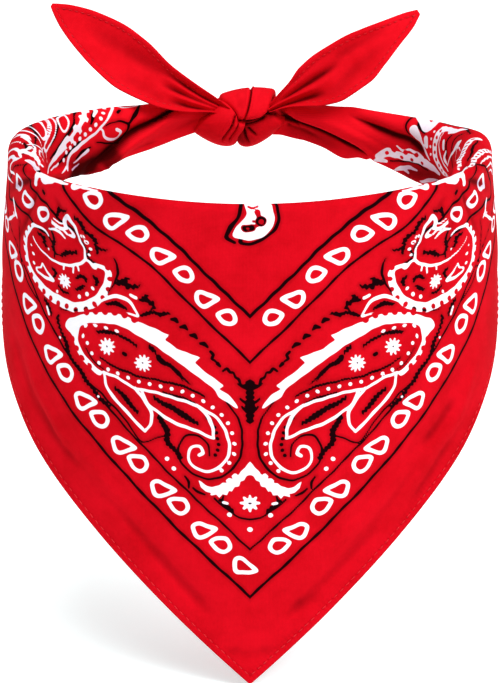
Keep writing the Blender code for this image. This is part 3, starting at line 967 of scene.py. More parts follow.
@dataclass(frozen=True)
class SidePaisley:
    """The paisley that curls at the side of the bib, with a scalloped rim and a beaded hook."""

    RIM = places("""
        83.4,189.4 87,192.4 92.6,192.4 98.4,187.6 101.8,182 102.6,175 101,168 96,162.6 88.4,159.2 80,157.2
        71.4,156.8 64,159.6 58.8,164.8 56,171 56,176.6 60.4,178.4
    """)
    ARC = places("94.4,186 91.8,181.6 87.6,178 82.2,175.6 76.6,175.2 71.4,176.2 67.2,177.8 64.8,180")
    HOOK = places("""
        64.8,180 64.2,183.4 64.4,187 65.6,190.4 65.8,194.2 66.6,197.6 68.4,199.8 70.2,201.8 71.6,200.6
        71.8,198.4 71,196.2
    """)
    STROKES = motifs("""
        W 64.8,180 63,179.4 61.2,177.2 | 1.4 1.6 2.6
        W 70.9,196.2 73.8,195.8 77.2,196.6 79,198.6 | 1.6 1.8 1.4 0.7
        W 71.4,199 74.4,198.4 77.8,200 | 0.7 0.9 0.6
        W 69.9,196.2 68.3,194 68.6,192.2 71,192.8 | 0.8 1.2 2 0.8
        W 77,175.4 77.4,172.4 | 0.9
        W 71.8,176.4 72.4,172 | 0.9
        W 69.6,176.6 69.4,173.4 | 0.9
        W 90.8,172.4 88.4,168.6 84.4,165.4 89,165.4 94.2,166.6 95.2,168.6 92.4,169.4 90.8,172.4 | 0.8 1.3 +
        1.6 1 0.8
        W 60,161.2 56,163.6 51,164.2 46.8,162.4 43.6,157.6 | 0.8 1.5 1.7 1.2 0.7
        W 43.8,157.6 46.6,158 50,157.9 | 0.9 0.7
        W 46.6,165.6 44.6,165 | 1.4
        W 88.2,153.6 86.8,150.8 | 1.1
        K 57.4,160.6 53,161.4 48.6,159.6 | 0.8 1.8 0.8 | rough 0.4
        K 90.6,189 87.4,187.4 87,184.2 85.4,182.4 | 1 1.5 0.9 | rough 0.9
        K 80.6,194.5 79.6,189 81.2,183 79,179.6 | 0.8 1.3 1 | rough 0.8
        K 77.4,179.4 75,181 72.6,183.6 69.8,183 67.6,184.2 | 0.9 1.6 1.1 | rough 1
        K 71,169 68.6,170.8 66.2,170.2 66.4,168.2 | 1 1.5 0.9 | rough 0.5
        K 62.4,172 60.6,170.6 61.8,167.6 | 1.1 1.5 0.8 | rough 0.6
        K 72,163.8 69.4,164.6 67,166.8 | 0.8 1.3 0.8 | rough 0.6
        K 84.6,171.4 82.6,169.4 84.2,166.4 | 1 1.4 0.7 | rough 0.6
        K 82,163.4 79,161.8 75.4,161.4 | 0.6 1 0.6 | rough 0.5
        K 66.4,202 63.6,199.8 61.8,195.8 59,194.4 58.2,191.6 58.6,188 | 0.8 1.4 1 1.5 0.8 | rough 1
        K 58.6,188 56.6,187 53.4,186.6 | 1.4 1 0.7 | rough 0.7
        K 58.6,188 58.2,184.2 | 1.2 0.7 | rough 0.5
        K 51.4,182.4 51,177.4 53,170.4 56.6,165 | 0.6 1.2 0.9 0.5
        K 75.4,205 75,203 76.4,200 | 0.9 1.2 0.8 | rough 0.6
        K 75,204.4 70.4,204.2 | 1 0.7 | rough 0.5
        K 106.8,189 108.4,183 109,174 106.4,164.6 100,158.2 92,153.6 | 0.5 0.8 0.5
        K 90.4,156.4 87.2,154 84.4,150.6 | 0.7 1.2 0.7 | rough 0.8
        K 80.4,154.4 75.6,154.6 70,156.2 64.6,158.2 | 0.4 0.8 0.5 | rough 0.4
    """)

    DOTS = records(Dot, """
        61.2 186.8 0.9
        62.2 183.4 0.8
        96.6 180.3 0.7
        96.3 175.8 0.95
        96.7 170.6 0.9
        84.8 181.8 0.7
        82.4 160.8 0.7
        70.2 161.2 0.9
        66.4 162.9 0.95
        63.2 166 0.85
    """)

    def draw(self, ink: Ink) -> None:
        """Prints the paisley."""
        rim = smooth_path(self.RIM)
        ink.stroke(Colour.WHITE, rim, (1.0, 1.5, 3.0, 3.5, 3.3, 3.2, 3.4, 4.0, 4.3, 4.0, 3.8, 3.5, 3.0, 2.0))
        for number, (place, heading) in enumerate(along_path(rim, 4.75, start=14.5, end=3)):
            turn = radians(heading + 90)
            side = np.array((cos(turn), sin(turn)))
            ink.dot(Colour.WHITE, place + side * (1.0 + 0.35 * sin(2.1 * number)), 1.15, clear=True)
        ink.stroke(Colour.WHITE, smooth_path(self.ARC), (0.6, 0.9, 1.3, 1.6, 1.5, 1.5))
        ink.stroke(Colour.WHITE, smooth_path(self.HOOK), (1.4, 1.0, 0.9, 1.1, 1.0, 1.4, 1.8, 2.4, 1.9, 1.4))
        for place, size in (((63.6, 192.9), 1.15), ((62.4, 190.2), 1.2)):
            ink.dot(Colour.WHITE, place, size)
            ink.dot(Colour.WHITE, place, size * 0.42, clear=True)
        for dot in self.DOTS:
            ink.dot(Colour.WHITE, (dot.x, dot.y), dot.radius)
        for motif in self.STROKES:
            motif.draw(ink)
        Flower((77.8, 166.5), 3.6, 10).draw(ink)


@dataclass(frozen=True)
class Foliage:
    """Black dashes, twigs and stems between the paisleys."""

    ROW = ((29, 157.6), (24.5, 154.2), (21, 151.1), (16.8, 147.8))
    STROKES = motifs("""
        K 52.4,169.4 49.4,171.2 47.4,173.4 | 1.4 1.8 0.9 | rough 0.9
        K 50,171.4 47.6,169.6 44.6,170 42.2,169.6 | 1.5 1.8 1.2 0.7 | rough 1.1
        K 43,164 40.6,165.6 39.2,167.2 | 1 1.3 0.7 | rough 0.8
        K 40.6,165 39.8,163.4 37.4,162.6 38,160.4 | 1.2 1.4 1.1 0.8 | rough 0.9
        K 43,157.9 38.6,159.4 35,158.8 33.4,160 30.4,160.2 | 0.8 1.3 1 1.4 0.7 | rough 0.5
        K 15.4,145.8 14,144.2 14.6,142.8 13,141.6 | 1 1.3 0.8
        K 12.4,140.8 11.2,139.6 | 1.6 0.9
        K 10.2,137.6 8.6,138.6 7.4,137 6.2,137.2 5.6,135.2 4.4,134.6 3.2,131.8 0.6,132.6 | 0.9 1.3 0.9 +
        1.2 0.9 1.4
        K 0,134 0,128 0,122 0,115.8 | 2.2 1.6 1.9 3.2 2.4 1 | rough 1.1
        K 66,127 60,124 56,120 50.6,115 46.4,110 42.6,105.2 37,107.2 32,109.6 | 0.7 0.9 0.7 0.7 0.6
        K 35.4,117 34,113.6 31.8,110.4 32.2,106.6 29.4,103 27,99.6 | 1.7 1.7 1.3 | rough 0.7
        K 81.7,151 80.2,146.2 76.4,140.2 73.6,135.4 68.1,129.4 63.6,125 | 1.2 0.8 1.4 0.8 1.3 0.9 | rough +
        0.9
        K 63,124.4 59.6,121.2 56,117.8 | 1.4 1 1.5 0.8 | rough 0.9
        K 25.4,92 24.2,89.6 24,87 | 0.8 1.2 0.8
        K 22.4,87.2 20.4,85.4 17.8,84.6 | 0.8 1.2 0.8
        K 61.6,186 63.4,181.6 59.4,178.6 | 0.7 1 0.7 | rough 0.7
    """)

    def draw(self, ink: Ink) -> None:
        """Prints the foliage."""
        for motif in self.STROKES:
            motif.draw(ink)
        for place, heading in along_path(smooth_path(self.ROW), 4.9):
            dash = turned(np.array(((-1.4, 0.5), (0, -0.3), (1.4, 0.3))), place, heading - 14)
            ink.stroke(Colour.BLACK, dash, (1.1, 2.0, 1.0))
        for level, reach in ((131.8, 4.6), (125.6, 3.6), (122.2, 3.0)):
            twig = smooth_path(((0, level - 1.4), (reach * 0.6, level - 0.6), (reach, level + 0.8)))
            ink.stroke(Colour.BLACK, twig, (1.5, 1.2, 0.8))
        for place in ((32.4, 99.2), (29.7, 95.2)):
            ink.dot(Colour.WHITE, place, 0.95)
        inner_dots = places("16.6,118 13.8,114 12.4,109.4 12.4,104.6 14.6,100.4")
        for place, _ in along_path(smooth_path(inner_dots), 2.5):
            ink.dot(Colour.BLACK, place, 0.8)
        for place in ((80.1, 142.6), (60.8, 122)):
            ink.dot(Colour.WHITE, place, 0.6)


@dataclass(frozen=True)
class Crown:
    """The white crown over a flower at the point of the bib, with dots and black arcs under it."""

    OUTLINE = places("""
        0,99.6 1.6,97 3.4,95.2 4.2,93.4 5.6,94.4 6.8,93 6.3,91.6 8,91.9 9.3,91 9.1,89.7 10.8,90 12.2,88.7
        14.8,87.8 17.4,88.5 20.2,90.4 19.2,87.7 17.4,86.2 15.2,85.7 15.6,84.4 13.2,84.9 12,83.6 10.9,85.3
        9.2,84.7 8.3,86.7 7.2,86.4 6.2,88.6 4.6,89 4,91 2.4,91.6 1.2,93.6 0,94.2
    """)

    STROKES = motifs("""
        K 6.4,77.6 8.8,79.2 11.2,82.4 9.6,84 | 0.9 1.3 0.8 | rough 0.8
    """)

    def draw(self, ink: Ink) -> None:
        """Prints the crown and what stands under it."""
        half = np.array(self.OUTLINE)
        ink.fill(Colour.WHITE, np.concatenate([half, half[::-1] * (-1, 1)]), grow=0.15)
        Flower((0, 81.6), 3.8, 8, 0.5).draw(ink)
        for place, size in (((8, 76), 1.0), ((0, 70.2), 1.05)):
            ink.dot(Colour.WHITE, place, size)
        ink.stroke(Colour.WHITE, turned(np.array(((-0.8, 0), (0.8, 0))), (9.4, 81.2), 20), 1.2)
        ink.stroke(Colour.BLACK, smooth_path(places("""
            0,74.6 3.6,75 7,77 10.6,80 14,83.2
        """)), (0.9, 0.8, 1.0, 0.7))
        for motif in self.STROKES:
            motif.draw(ink)


@dataclass(frozen=True)
class FoldFlower:
    """The small white teardrop in the middle of the field, cut by the top fold."""

    BODY = places("""
        -2.2,206 -1,202.4 -3.4,198.6 -5.6,196.2 -6.6,193.8 -6,192.6 -4.4,192 -2,191.6 1,191.6 4.6,192.6
        7,194.8 8.6,197 9.1,199.6 9,201.8 8,206 5.4,211 1,213 -2.4,210.4
    """)
    STROKES = motifs("""
        W -0.6,205 1.2,204.3 3,205 | 0.9 | clear
        W 3,202.6 3.3,200.4 | 2.4 1.4 | clear
        W 0.9,199.2 2,199 | 0.9 | clear
        W 1.2,196.8 2.8,197.6 | 1.5 | clear
        W 4,199.1 4.02,199.1 | 4.3 | clear
        W -2.1,196.1 0.6,196.6 | 3 | clear
        K 4,199.1 4.02,199.1 | 3.9
        K -1.9,196.1 0.5,196.6 | 2.3
        K 4.1,198.9 4.12,198.9 | 2.1 | clear
        K -1.2,196.2 -0.7,196.3 | 0.9 | clear
        K -3.6,208 -3.4,203.4 -4.6,200.2 -7.4,196.4 -8.7,193.6 -8.5,192 -5.6,190.4 | 1.4 1.5 1.2 1.8 1.6 1.2
        K -3,192.2 -3.6,190.6 -2.4,190 1.6,190.4 5.6,192.4 8.6,194.8 10.2,197.6 10.7,200.2 10.2,205 +
        7.4,211 | 1.5 1.2 1.3 1.2 1.3 1.2 1.1 1.4
    """)

    def draw(self, ink: Ink) -> None:
        """Prints the teardrop. Its places are not mirrored."""
        ink.fill(Colour.WHITE, smooth_path(self.BODY, closed=True))
        for motif in self.STROKES:
            motif.draw(ink)


@dataclass(frozen=True)
class BibPrint:
    """The whole print of the bib, mirrored about its middle.

    Attributes:
        outer_row: The pebble border near the hem.
        inner_row: The pebble border round the plain field.
    """

    outer_row: PebbleRow = PebbleRow(36.4, (52.6, 61.6), 8, size=1.12)
    inner_row: PebbleRow = PebbleRow(107.0, (119.4, 129.8), 5)
    rules: tuple[Rule, ...] = (Rule(28.4, 1.15), Rule(43.3, 0.85), Rule(100.2, 1.0), Rule(113.6, 1.3))

    def places(self, q: np.ndarray, h: np.ndarray) -> Points:
        """Where the print has been pulled to by the gathers, as (x, y) for places on the cloth."""
        x, y = np.abs(q), BIB_DROP - h
        pull = 11.0 * ramp(x, 22, 82) * (1 - ramp(h, 10, 42))
        pull = pull - 1.8 * ramp(x, 60, 100) * ramp(h, 25, 45)
        lift = 2.2 * ramp(x, 38, 62) * (1 - ramp(h, 12, 42))
        return np.stack([x - pull / sqrt(2), y + pull / sqrt(2) + lift], axis=-1)

    def draw(self, q: np.ndarray, h: np.ndarray) -> dict[Colour, np.ndarray]:
        """The two inks at places on the cloth."""
        ink = Ink(self.places(q, h))
        for rule in self.rules:
            rule.draw(ink)
        self.outer_row.draw(ink)
        self.inner_row.draw(ink)
        corner = turned(smooth_path(PebbleForm.DROP.value, 0.6, closed=True), (-2.2, 53.4), -12, 1.12)
        for motif in (SidePaisley(), BigPaisley(), *LEAVES, Foliage(), Crown()):
            motif.draw(ink)
        sides = np.flatnonzero((np.abs(q) > 56) & (np.abs(q) < 106) & (h < 40))
        if len(sides):
            pinch = Ink(np.stack([np.abs(q[sides]), h[sides]], axis=-1))
            PinchPrint().draw(pinch)
            ink.overlay(sides, pinch.inks)
        middle = np.flatnonzero(np.abs(q) < 16)
        if len(middle):
            centre = Ink(np.stack([q[middle], BIB_DROP - h[middle]], axis=-1))
            FoldFlower().draw(centre)
            centre.ring(corner, 1.75)
            ink.overlay(middle, centre.inks)
        return ink.inks


@dataclass(frozen=True)
class FieldPrint:
    """The middle of the square, on the leg that is folded in: a few teardrops and flowers on plain red."""

    def draw(self, q: np.ndarray, h: np.ndarray) -> dict[Colour, np.ndarray]:
        """The two inks at places on the cloth."""
        ink = Ink(np.stack([q, BIB_DROP - h], axis=-1))
        drop = smooth_path(places("0,7.5 -3.4,1.5 -3.2,-3.6 0,-5.6 3.4,-3.4 3.2,1.8"), 0.7, closed=True)
        for row, height in enumerate((222, 246, 270, 294)):
            for column in range(-3, 4):
                x = 31 * (column + 0.5 * (row % 2))
                tilt = 180 * (column % 2) + 14 * sin(2.3 * column + row)
                if (row + column) % 2:
                    ink.stroke(Colour.BLACK, turned(drop * 1.35, (x, height), tilt), 0.8)
                    ink.fill(Colour.WHITE, turned(drop, (x, height), tilt))
                    eye = turned(np.array(((0, -1.8),)), (x, height), tilt)[0]
                    ink.dot(Colour.WHITE, eye, 1.5, clear=True)
                    ink.dot(Colour.BLACK, eye, 0.8)
                else:
                    Flower((x, height), 3.2, 8).draw(ink)
                    for turn in range(6):
                        spot = turned(np.array(((5.6, 0),)), (x, height), 60 * turn + 12)[0]
                        ink.dot(Colour.WHITE, spot, 0.75)
        return ink.inks


PINCH_MOTIFS = motifs("""
    K 114,-0.5 109,2 104.5,5 95,8.2 87,11.5 81,15 73,18.5 67,24 | 0.8 1.2 1 0.9
    K 113,1 121,5 127,10 131,15 129,19 118,18 104,18.8 92,21.4 85,25 84,30 | 0.7 1.1 0.9
    W 109,-2.4 104,-1.6 99,-1 92,-0.7 85,-0.8 79,-0.4 | 0.8 1.6 2.8 2.6 2.2 0.9
    W 99.6,-0.5 98.4,3.2 | 3.4 2.4
    W 95,0.4 91.4,1.4 87,0.6 | 1.8 1.6 0.8
    W 76,-0.8 70,-0.6 63,-0.4 | 0.6 1.5 0.9
    W 86,16.6 81,17.6 77,19.8 | 1.5 0.8 0.8
    W 88.5,19.6 82,19 78,21.6 | 0.7 1.2 0.6
    K 93,5 91.8,6 | 1.3
    W 122,17 117,20.4 114,23.4 | 0.8 1.5 0.6
    W 128,28 118,23.6 115,21.6 119,22.4 | 0.8 1.6 1 0.6
""")
LEFT_BAND_MOTIFS = motifs("""
    W 160,-27 172,-22.4 182,-18 190,-13.8 196.6,-9 200.4,-4 203.4,2 | 0.4 1.5 3.2 4.8 5.6 4.4 4
    W 187,-12.9 189,-11.6 | 2.4 | clear
    W 193,-8.8 194.4,-7.4 | 2.6 | clear
    W 197.4,-4.6 198,-3 | 2.4 | clear
    W 185.4,-18 187,-17.2 | 2.2 | clear
    W 191,-15.4 192.6,-14.2 | 2.6 | clear
    W 196.6,-12 198,-10.6 | 2.8 | clear
    W 201,-7.4 201.8,-6 | 2.4 | clear
    W 203.5,-7 206.2,-4 205.5,0.5 | 1.2 2.2 1.2
    W 183.4,-28.4 185,-25 187.4,-21.8 193.4,-19.2 199,-16.8 204,-14.2 208,-11.4 211.2,-8.4 213.8,-5 +
    216.6,0.5 218,4 | 1 1.6 1.9 1.4 1.2 1.1 1.2 1.4 1.4
    W 206,-12.8 207.4,-14.2 208.2,-16.8 211.2,-18.6 215,-18 216.8,-15.6 214.8,-14.2 | 0.8 1.2 1.3 1.1 1.1 +
    1.6
    W 189,-26 195,-23.8 198.6,-21.8 | 0.5 0.9 1.7
    W 167,-26.4 177,-24.6 | 0.5 1
    W 178,-28.8 184,-26.8 | 0.6 1.1
    W 187,-28.4 192.6,-26.6 | 0.9 0.5
    W 217.4,1 219.6,-2.8 223,-3.8 226.6,-2.4 227.6,1.5 | 1.2 1.7 1.5 1.6
    K 230,1.6 226,-6 223,-9.8 221.2,-12 219,-11.4 215.8,-10.6 212,-11.4 209,-12.2 | 0.8 0.8 1.3 2 1.1 0.9 +
    0.7 0.6
    K 221,-12.4 220.4,-15.4 218.4,-18.6 215,-20.8 209.6,-20 203.6,-18.6 | 1.5 1.1 0.8 0.9 0.8 0.5
    K 217.4,-5.6 216,-6.8 | 1.4
    K 208.6,1 205.8,-4 203,-7.2 201,-10.6 | 1.6 1 2 1
    K 198,-1 193.4,-6 189.6,-10.6 182.6,-15 175,-19 168,-21.4 | 1.6 0.9 1.8 1 1.7 0.8
    K 194,-17.6 189,-19.6 184,-22.2 177,-25 | 1.7 1 1.5 0.7
    K 200,-20.6 195.4,-22 191,-24.4 | 0.8 1.6 0.8
    W 190,-2.6 188.4,-8 184,-12 181.6,-9.4 184.6,-4.6 190,-2.6 | 1.1
    W 184,1 180,-7.6 172,-13.8 163,-17 157,-14.8 169,-11.6 176.4,-7 181,0 | 1.1 0.9 1 1.4 1.2 0.9 1
    W 171,2 174.6,-1.4 170,-7.6 165.4,-11.4 158.4,-10.8 161.6,-6.2 168,0 | 1.2 1.4 1 1.7 1.3 1 1
    W 166,3 158,-2 153.4,-9 148,-13 | 0.8 1.2 1.7 0.6
    W 152,1 150.4,-3.4 144,-6.4 | 1 2.6 0.8
    W 148,-3 141,-6 133,-8.4 | 1.8 1.5 0.6
    W 129,-2.6 122.6,-5.2 115,-5.3 105,-4.6 | 2.2 2.2 1.1 0.5
    W 137,-8.4 128,-7 121,-5.6 | 1 1.4 2.2
    W 118,-1.6 114,-2.8 108,-3.2 102,-2.8 | 2.4 1.9 1 0.5
    W 142,6 136,0.6 129,-0.8 122,-0.2 | 0.8 1.6 1.6 0.8
    W 136,6 130,2.8 122,1.2 | 1.5 1.7 1
    W 122,1.2 125,3.4 129,8 120.6,7 | 1.2
    W 139,9 136,12.4 125,12.2 | 1 1.3 0.6
    K 176,2 166,-3 156,-8 148,-9 | 1 1.7 0.9
    K 188,2 186,-3 179,-10 170,-15.8 | 1.7 0.9 1.4 0.9
    K 139,-4 130,-4.4 126,-2 | 0.8 1.8 0.8
    W 163,-22 160,-16 152,-14.4 144,-13 | 0.4 0.9 0.8 0.4
    W 157,-20 151,-16.6 142,-10.4 136,-5 | 0.4 0.8 1 0.7
    W 148,-16 139,-11.6 127,-9.4 112,-7 | 0.5 1.1 0.8 0.4
    W 178.6,-2 175,-6.4 168.6,-10.6 | 0.6 0.9 0.5
    W 160,4 154.6,0 149,-6 | 0.6 0.9 0.5
    W 148,4 143,-1 137,-3.6 | 0.6 0.9 0.6
    W 134,-6 130,-4.4 131,-1.6 126,-3.4 | 1.6 1.8 1.2 0.7
    K 164,-1 160,-6 154,-12 | 0.6 1.1 0.6 | rough 0.3
    K 150,-8 141,-8.6 133,-7 | 0.6 1 0.6
""")
RIGHT_BAND_MOTIFS = motifs("""
    W 201,2 199,-1.6 195.4,-4.6 191.6,-7.4 189.4,-6.2 190.4,-1 | 2.4 4.6 4.8 5.2 4 2.6
    W 195.4,1.6 193.8,-1.4 | 2.2 | clear
    K 197.4,-5.6 194.6,-8.6 191,-10.2 | 1.4 2.6 1.8 0.8 | rough 0.4
    W 198.4,-10.2 197,-11.6 194,-14.2 191.4,-17.8 187,-21.6 | 5 4.4 2.2 1.4 1 0.6
    W 190.4,-12.6 190,-15.6 | 2.7
    W 191.4,-15.6 193,-16.2 | 1
    K 201,0 202.8,-4 203,-8.6 201.4,-12.4 | 0.8 1.1 0.7
    W 182.4,-6.6 176.6,-7.2 170.4,-7 164.6,-4.6 | 1.6 4 3.4 3.6 1.2
    W 178,-9 176,-8.6 | 1.6 | clear
    W 172.8,-5 171,-5.2 | 1.5 | clear
    W 181,-6.6 182.6,-11 183.6,-16 182.2,-20.6 177,-25 170,-28 | 3 3.6 3.4 3.2 2.6 2 0.8 | holes 3.3
    W 178.6,-8.6 180,-12.6 179.6,-17 176,-21.6 170,-25.4 | 0.7 0.8 0.6
    W 150.4,-11.8 154,-13.2 162,-16.2 168,-19.4 171,-23 | 3.6 2.8 1.6 1.2 0.7
    W 176.2,-12.6 176,-15.4 | 2.1
    W 173.4,-17 174.6,-19.6 171.4,-22.6 | 1.4 2 0.8
    K 170.4,-9.6 173,-12.6 173.2,-16.4 171,-20.6 | 0.7 1.3 0.7 | rough 0.3
    W 145,-2.6 143.6,-5.6 138,-7.6 130,-8.4 118,-7.6 104,-4 | 3 3.2 2.8 2.4 1.6 0.6 | holes 4.2
    W 160,-24.6 155,-17 147,-12.4 137,-11.2 | 0.6 1 0.7
    K 163,-24 166,-17.6 164,-11 158,-7.6 | 0.7 1.2 0.8
    W 217.4,-23.6 212.4,-21.4 208,-21.6 203.6,-21.8 198,-22.2 192,-22.8 186,-24.4 179,-27 | 2.4 4 3 3.4 +
    3.6 3.4 2.6 1.2
    W 212.6,-21.7 212.1,-21.6 | 1.7 | clear
    W 209,-19.6 208.4,-19.8 | 2.1 | clear
    W 202.4,-19.8 201.8,-19.9 | 2.1 | clear
    W 196,-20.6 195.4,-20.7 | 1.9 | clear
    W 204.8,-22.3 204.2,-22.3 | 1.4 | clear
    W 199,-22.9 198.4,-22.9 | 1.4 | clear
    W 192.6,-23.4 192,-23.5 | 1.3 | clear
    W 207.4,-17.6 204,-19.2 200,-18.6 196,-19.8 191.6,-21 | 0.6 1.3 0.9 1.3 0.8
    W 219,-25.6 215.6,-24.8 212.6,-25.4 | 1.2 2.2 1.2
    K 211,-25 206,-24.2 200,-23.8 194,-24.6 188,-26.4 | 0.6 0.8 0.5
    W 209,-28.8 204.4,-27 200,-26.4 195.4,-27.4 | 0.9 2 1.7 0.7
    W 203,-27.2 200.6,-29 | 1.6 0.8
    W 193.4,-32 187,-30.4 181,-30.2 | 1 2 0.8
    W 101,-1.6 112,-0.6 119,-1.4 127,-1 134,1 142,5 | 0.6 1.4 2.4 2.6 2.2 1.2 | holes 3.6
    W 116,1.6 126,2.2 135,4.6 143,9 | 0.6 1 0.7
    W 121,4.4 130,5.6 139,9.8 | 0.6 1.1 0.6
    W 127,8 133,9.4 139,13 | 0.5 0.9 0.5
    K 192,2 187,-1.4 180,-2.4 172,-2.6 162,-5 152,-6 | 0.8 1.4 0.8 1.2 0.7 | rough 0.3
    K 116,-3.8 125,-4.2 134,-4.4 142,-3.2 | 0.6 1.3 0.8
""")


@dataclass(frozen=True)
class PinchPrint:
    """What the gathers at each side have drawn together: a short pebble border and torn white shapes."""

    pebbles: tuple[tuple[float, float, float, float], ...] = (
        (117, 10, 38, 1.05), (105.3, 12.2, 8, 1.05), (92.3, 14.2, 20, 0.95)
    )

    def draw(self, ink: Ink) -> None:
        """Prints them. The ink's places are (|q|, h)."""
        for motif in PINCH_MOTIFS:
            motif.draw(ink)
        for q, h, tilt, scale in self.pebbles:
            form = PebbleForm.DROP if q > 110 else PebbleForm.STONE
            ring = turned(smooth_path(form.value, 0.6, closed=True) * (1, 0.9), (q, h), tilt, scale)
            ink.ring(ring, 1.7)


@dataclass(frozen=True)
class BandPrint:
    """The print of one band, pulled together by its gathers.

    Attributes:
        motifs: What shows inside the ring and over the roll, in |q| and h.
        beads: Paths with a row of dots along them, with their pitch and size.
    """

    motifs: tuple[Motif, ...]
    beads: tuple[tuple[tuple[Place, ...], float, float], ...]
    bib: BibPrint = BibPrint()

    def draw(self, q: np.ndarray, h: np.ndarray) -> dict[Colour, np.ndarray]:
        """The two inks at places on the cloth."""
        ink = Ink(np.stack([np.abs(q), h], axis=-1))
        for motif in sorted(self.motifs, key=lambda motif: motif.clear):
            motif.draw(ink)
        for path, pitch, size in self.beads:
            for place, _ in along_path(smooth_path(path), pitch):
                ink.dot(Colour.WHITE, place, size)
        PinchPrint().draw(ink)
        self.border(ink)
        outer = np.flatnonzero((h > 3.0) & (np.abs(q) < 206))
        if len(outer):
            ink.overlay(outer, self.bib.draw(q[outer], h[outer]))
        return ink.inks

    def border(self, ink: Ink) -> None:
        """Prints the pebble border that runs along the band's outside up to the knot."""
        for rule in (((207, 5.6), (240, 3.2), (286, 2.4)), ((207, 17.4), (240, 12.6), (286, 9.6))):
            ink.stroke(Colour.BLACK, smooth_path(rule), (1.1, 1.0, 0.9))
        middle = smooth_path(((213, 11), (240, 7.8), (286, 6)))
        for number, (place, heading) in enumerate(along_path(middle, 11.2)):
            form = PebbleForm.DROP if number % 2 else PebbleForm.STONE
            scale = 0.82 - 0.035 * number
            ring = turned(smooth_path(form.value, 0.6, closed=True), place, heading + 7 * sin(number), scale)
            ink.ring(ring, 1.4)


LEFT_BAND_PRINT = BandPrint(
    LEFT_BAND_MOTIFS,
    (
        (places("""
            182,-24 184.6,-20.4 190,-17.8 196,-15.4 202,-12 206,-9.4 209,-6.4 211.4,-2.4 213.6,3
        """), 3.7, 0.98),
        (((193.4, 2.6), (192.6, -3)), 5.0, 1.2),
    ),
)
RIGHT_BAND_PRINT = BandPrint(
    RIGHT_BAND_MOTIFS,
    (
        (((185.6, -9), (187, -14), (186.4, -19)), 3.4, 0.7),
    ),
)


# ------------------------------------------------------------------------------------ the creased cloth


class Ray(NamedTuple):
    """One crease of a fan: its heading (0 is towards the knot, 90 over the roll, -90 down) and its size."""

    heading: float
    start: float
    length: float
    depth: float
    width: float


def fan(side: int, hub: Place, rays: Sequence[Ray], opening: float = 3.0) -> list[Crease]:
    """Creases that spread from a pinch.

    Args:
        side: -1 on the left and 1 on the right.
        hub: |q| and h of the pinch.
        rays: The creases.
        opening: How many times as wide a crease gets at its end.
    """
    creases = []
    for ray in rays:
        way = np.array((side * cos(radians(ray.heading)), -sin(radians(ray.heading))))
        start = np.array((side * hub[0], hub[1])) + way * ray.start
        path = (tuple(start), tuple(start + way * ray.length / 2), tuple(start + way * ray.length))
        creases.append(Crease(path, ray.depth, ray.width, (0.2, 0.6), 0.0, opening))
    return creases


# In the tables of creases and shades below, some of the rows beside the knot are measured ones too.
LEFT_FAN = records(Ray, """
    -170 12 40 0.4 1.5
    -150 10 44 -0.4 1.6
    -131 8 40 0.5 1.4
    -112 8 36 -0.4 1.5
    -94 8 44 0.5 1.4
    -76 7 40 -0.4 1.4
    -58 7 50 0.7 1.3
    -42 6 40 -0.6 1.3
    -26 6 48 1 1.2
    -12 5 40 -1 1.2
    1 5 44 1.4 1.1
    14 5 38 -1.1 1.1
    27 5 44 1.6 1
    41 5 36 -1 1
    54 5 34 1.3 1
""")
RIGHT_FAN = records(Ray, """
    -172 12 40 0.4 1.6
    -152 10 46 -0.4 1.6
    -133 8 36 0.4 1.5
    -114 8 46 -0.4 1.6
    -96 8 38 0.5 1.4
    -78 7 46 -0.4 1.4
    -60 7 40 0.6 1.3
    -43 6 48 -0.6 1.3
    -26 6 42 0.9 1.2
    -10 5 46 -0.9 1.3
    4 5 40 1.3 1.1
    18 5 44 -1 1.1
    32 5 38 1.4 1
    47 5 34 1.1 1
""")
INNER_FAN = records(Ray, """
    3 8 62 -1.4 1.2
    10 6 50 1.9 0.9
    18 6 46 -1.7 1
    27 6 54 2.2 0.9
    37 6 40 -1.6 1
    47 6 48 2.2 0.9
    58 6 40 -1.6 1
    70 6 42 2 0.9
    82 6 36 -1.4 1
    94 6 38 1.8 0.9
    107 6 34 -1.2 1
    120 6 36 1.5 1
    135 6 34 -1.2 1.1
    150 6 34 1.3 1.1
""")
BIB_CREASES = creases("""
    -121,62 -106,78 -90,100 -76,118 | 0.9 5 0.3 0.4 0.3
    -96,52 -80,76 -62,104 | -0.7 6.5
    107,64 84,86 62,117 50,134 | 0.8 5.5 0.3 0.4 -0.3
    90,86 80,98 70,108 | 0.9 3
    66,60 48,92 34,128 | -0.6 8
    12,172 22,170 34,166 | 0.8 4 0.4 0.4 0.4
    -46,142 -30,158 -12,176 | 0.6 5
    -60,26 -30,48 4,58 | 0.55 8
    64,24 34,44 10,52 | 0.5 8
    -20,92 -14,130 -6,162 | 0.55 7
    22,96 14,130 8,150 | -0.55 7
    8,181 30,160 58,133 | 0.7 3.6 0.3 0.3 0.5
    24,154 50,129 76,101 | -0.7 3.4 0.3 0.4 0.3
    -10,180 -34,153 -60,121 | 0.7 3.8 0.3 0.3 -0.5
    -30,150 -56,122 -78,97 | -0.6 3.6
    -68,118 -82,104 -95,86 | 0.8 3.2 0.3 0.4 0.4
    62,134 76,118 92,97 | 0.7 3 0.3 0.4 -0.4
    -12,188 0,191 12,187 | 0.5 3.2
    -104,70 -88,92 -74,112 | -0.7 3.4
    102,74 94,90 80,110 | -0.6 3.2
""")
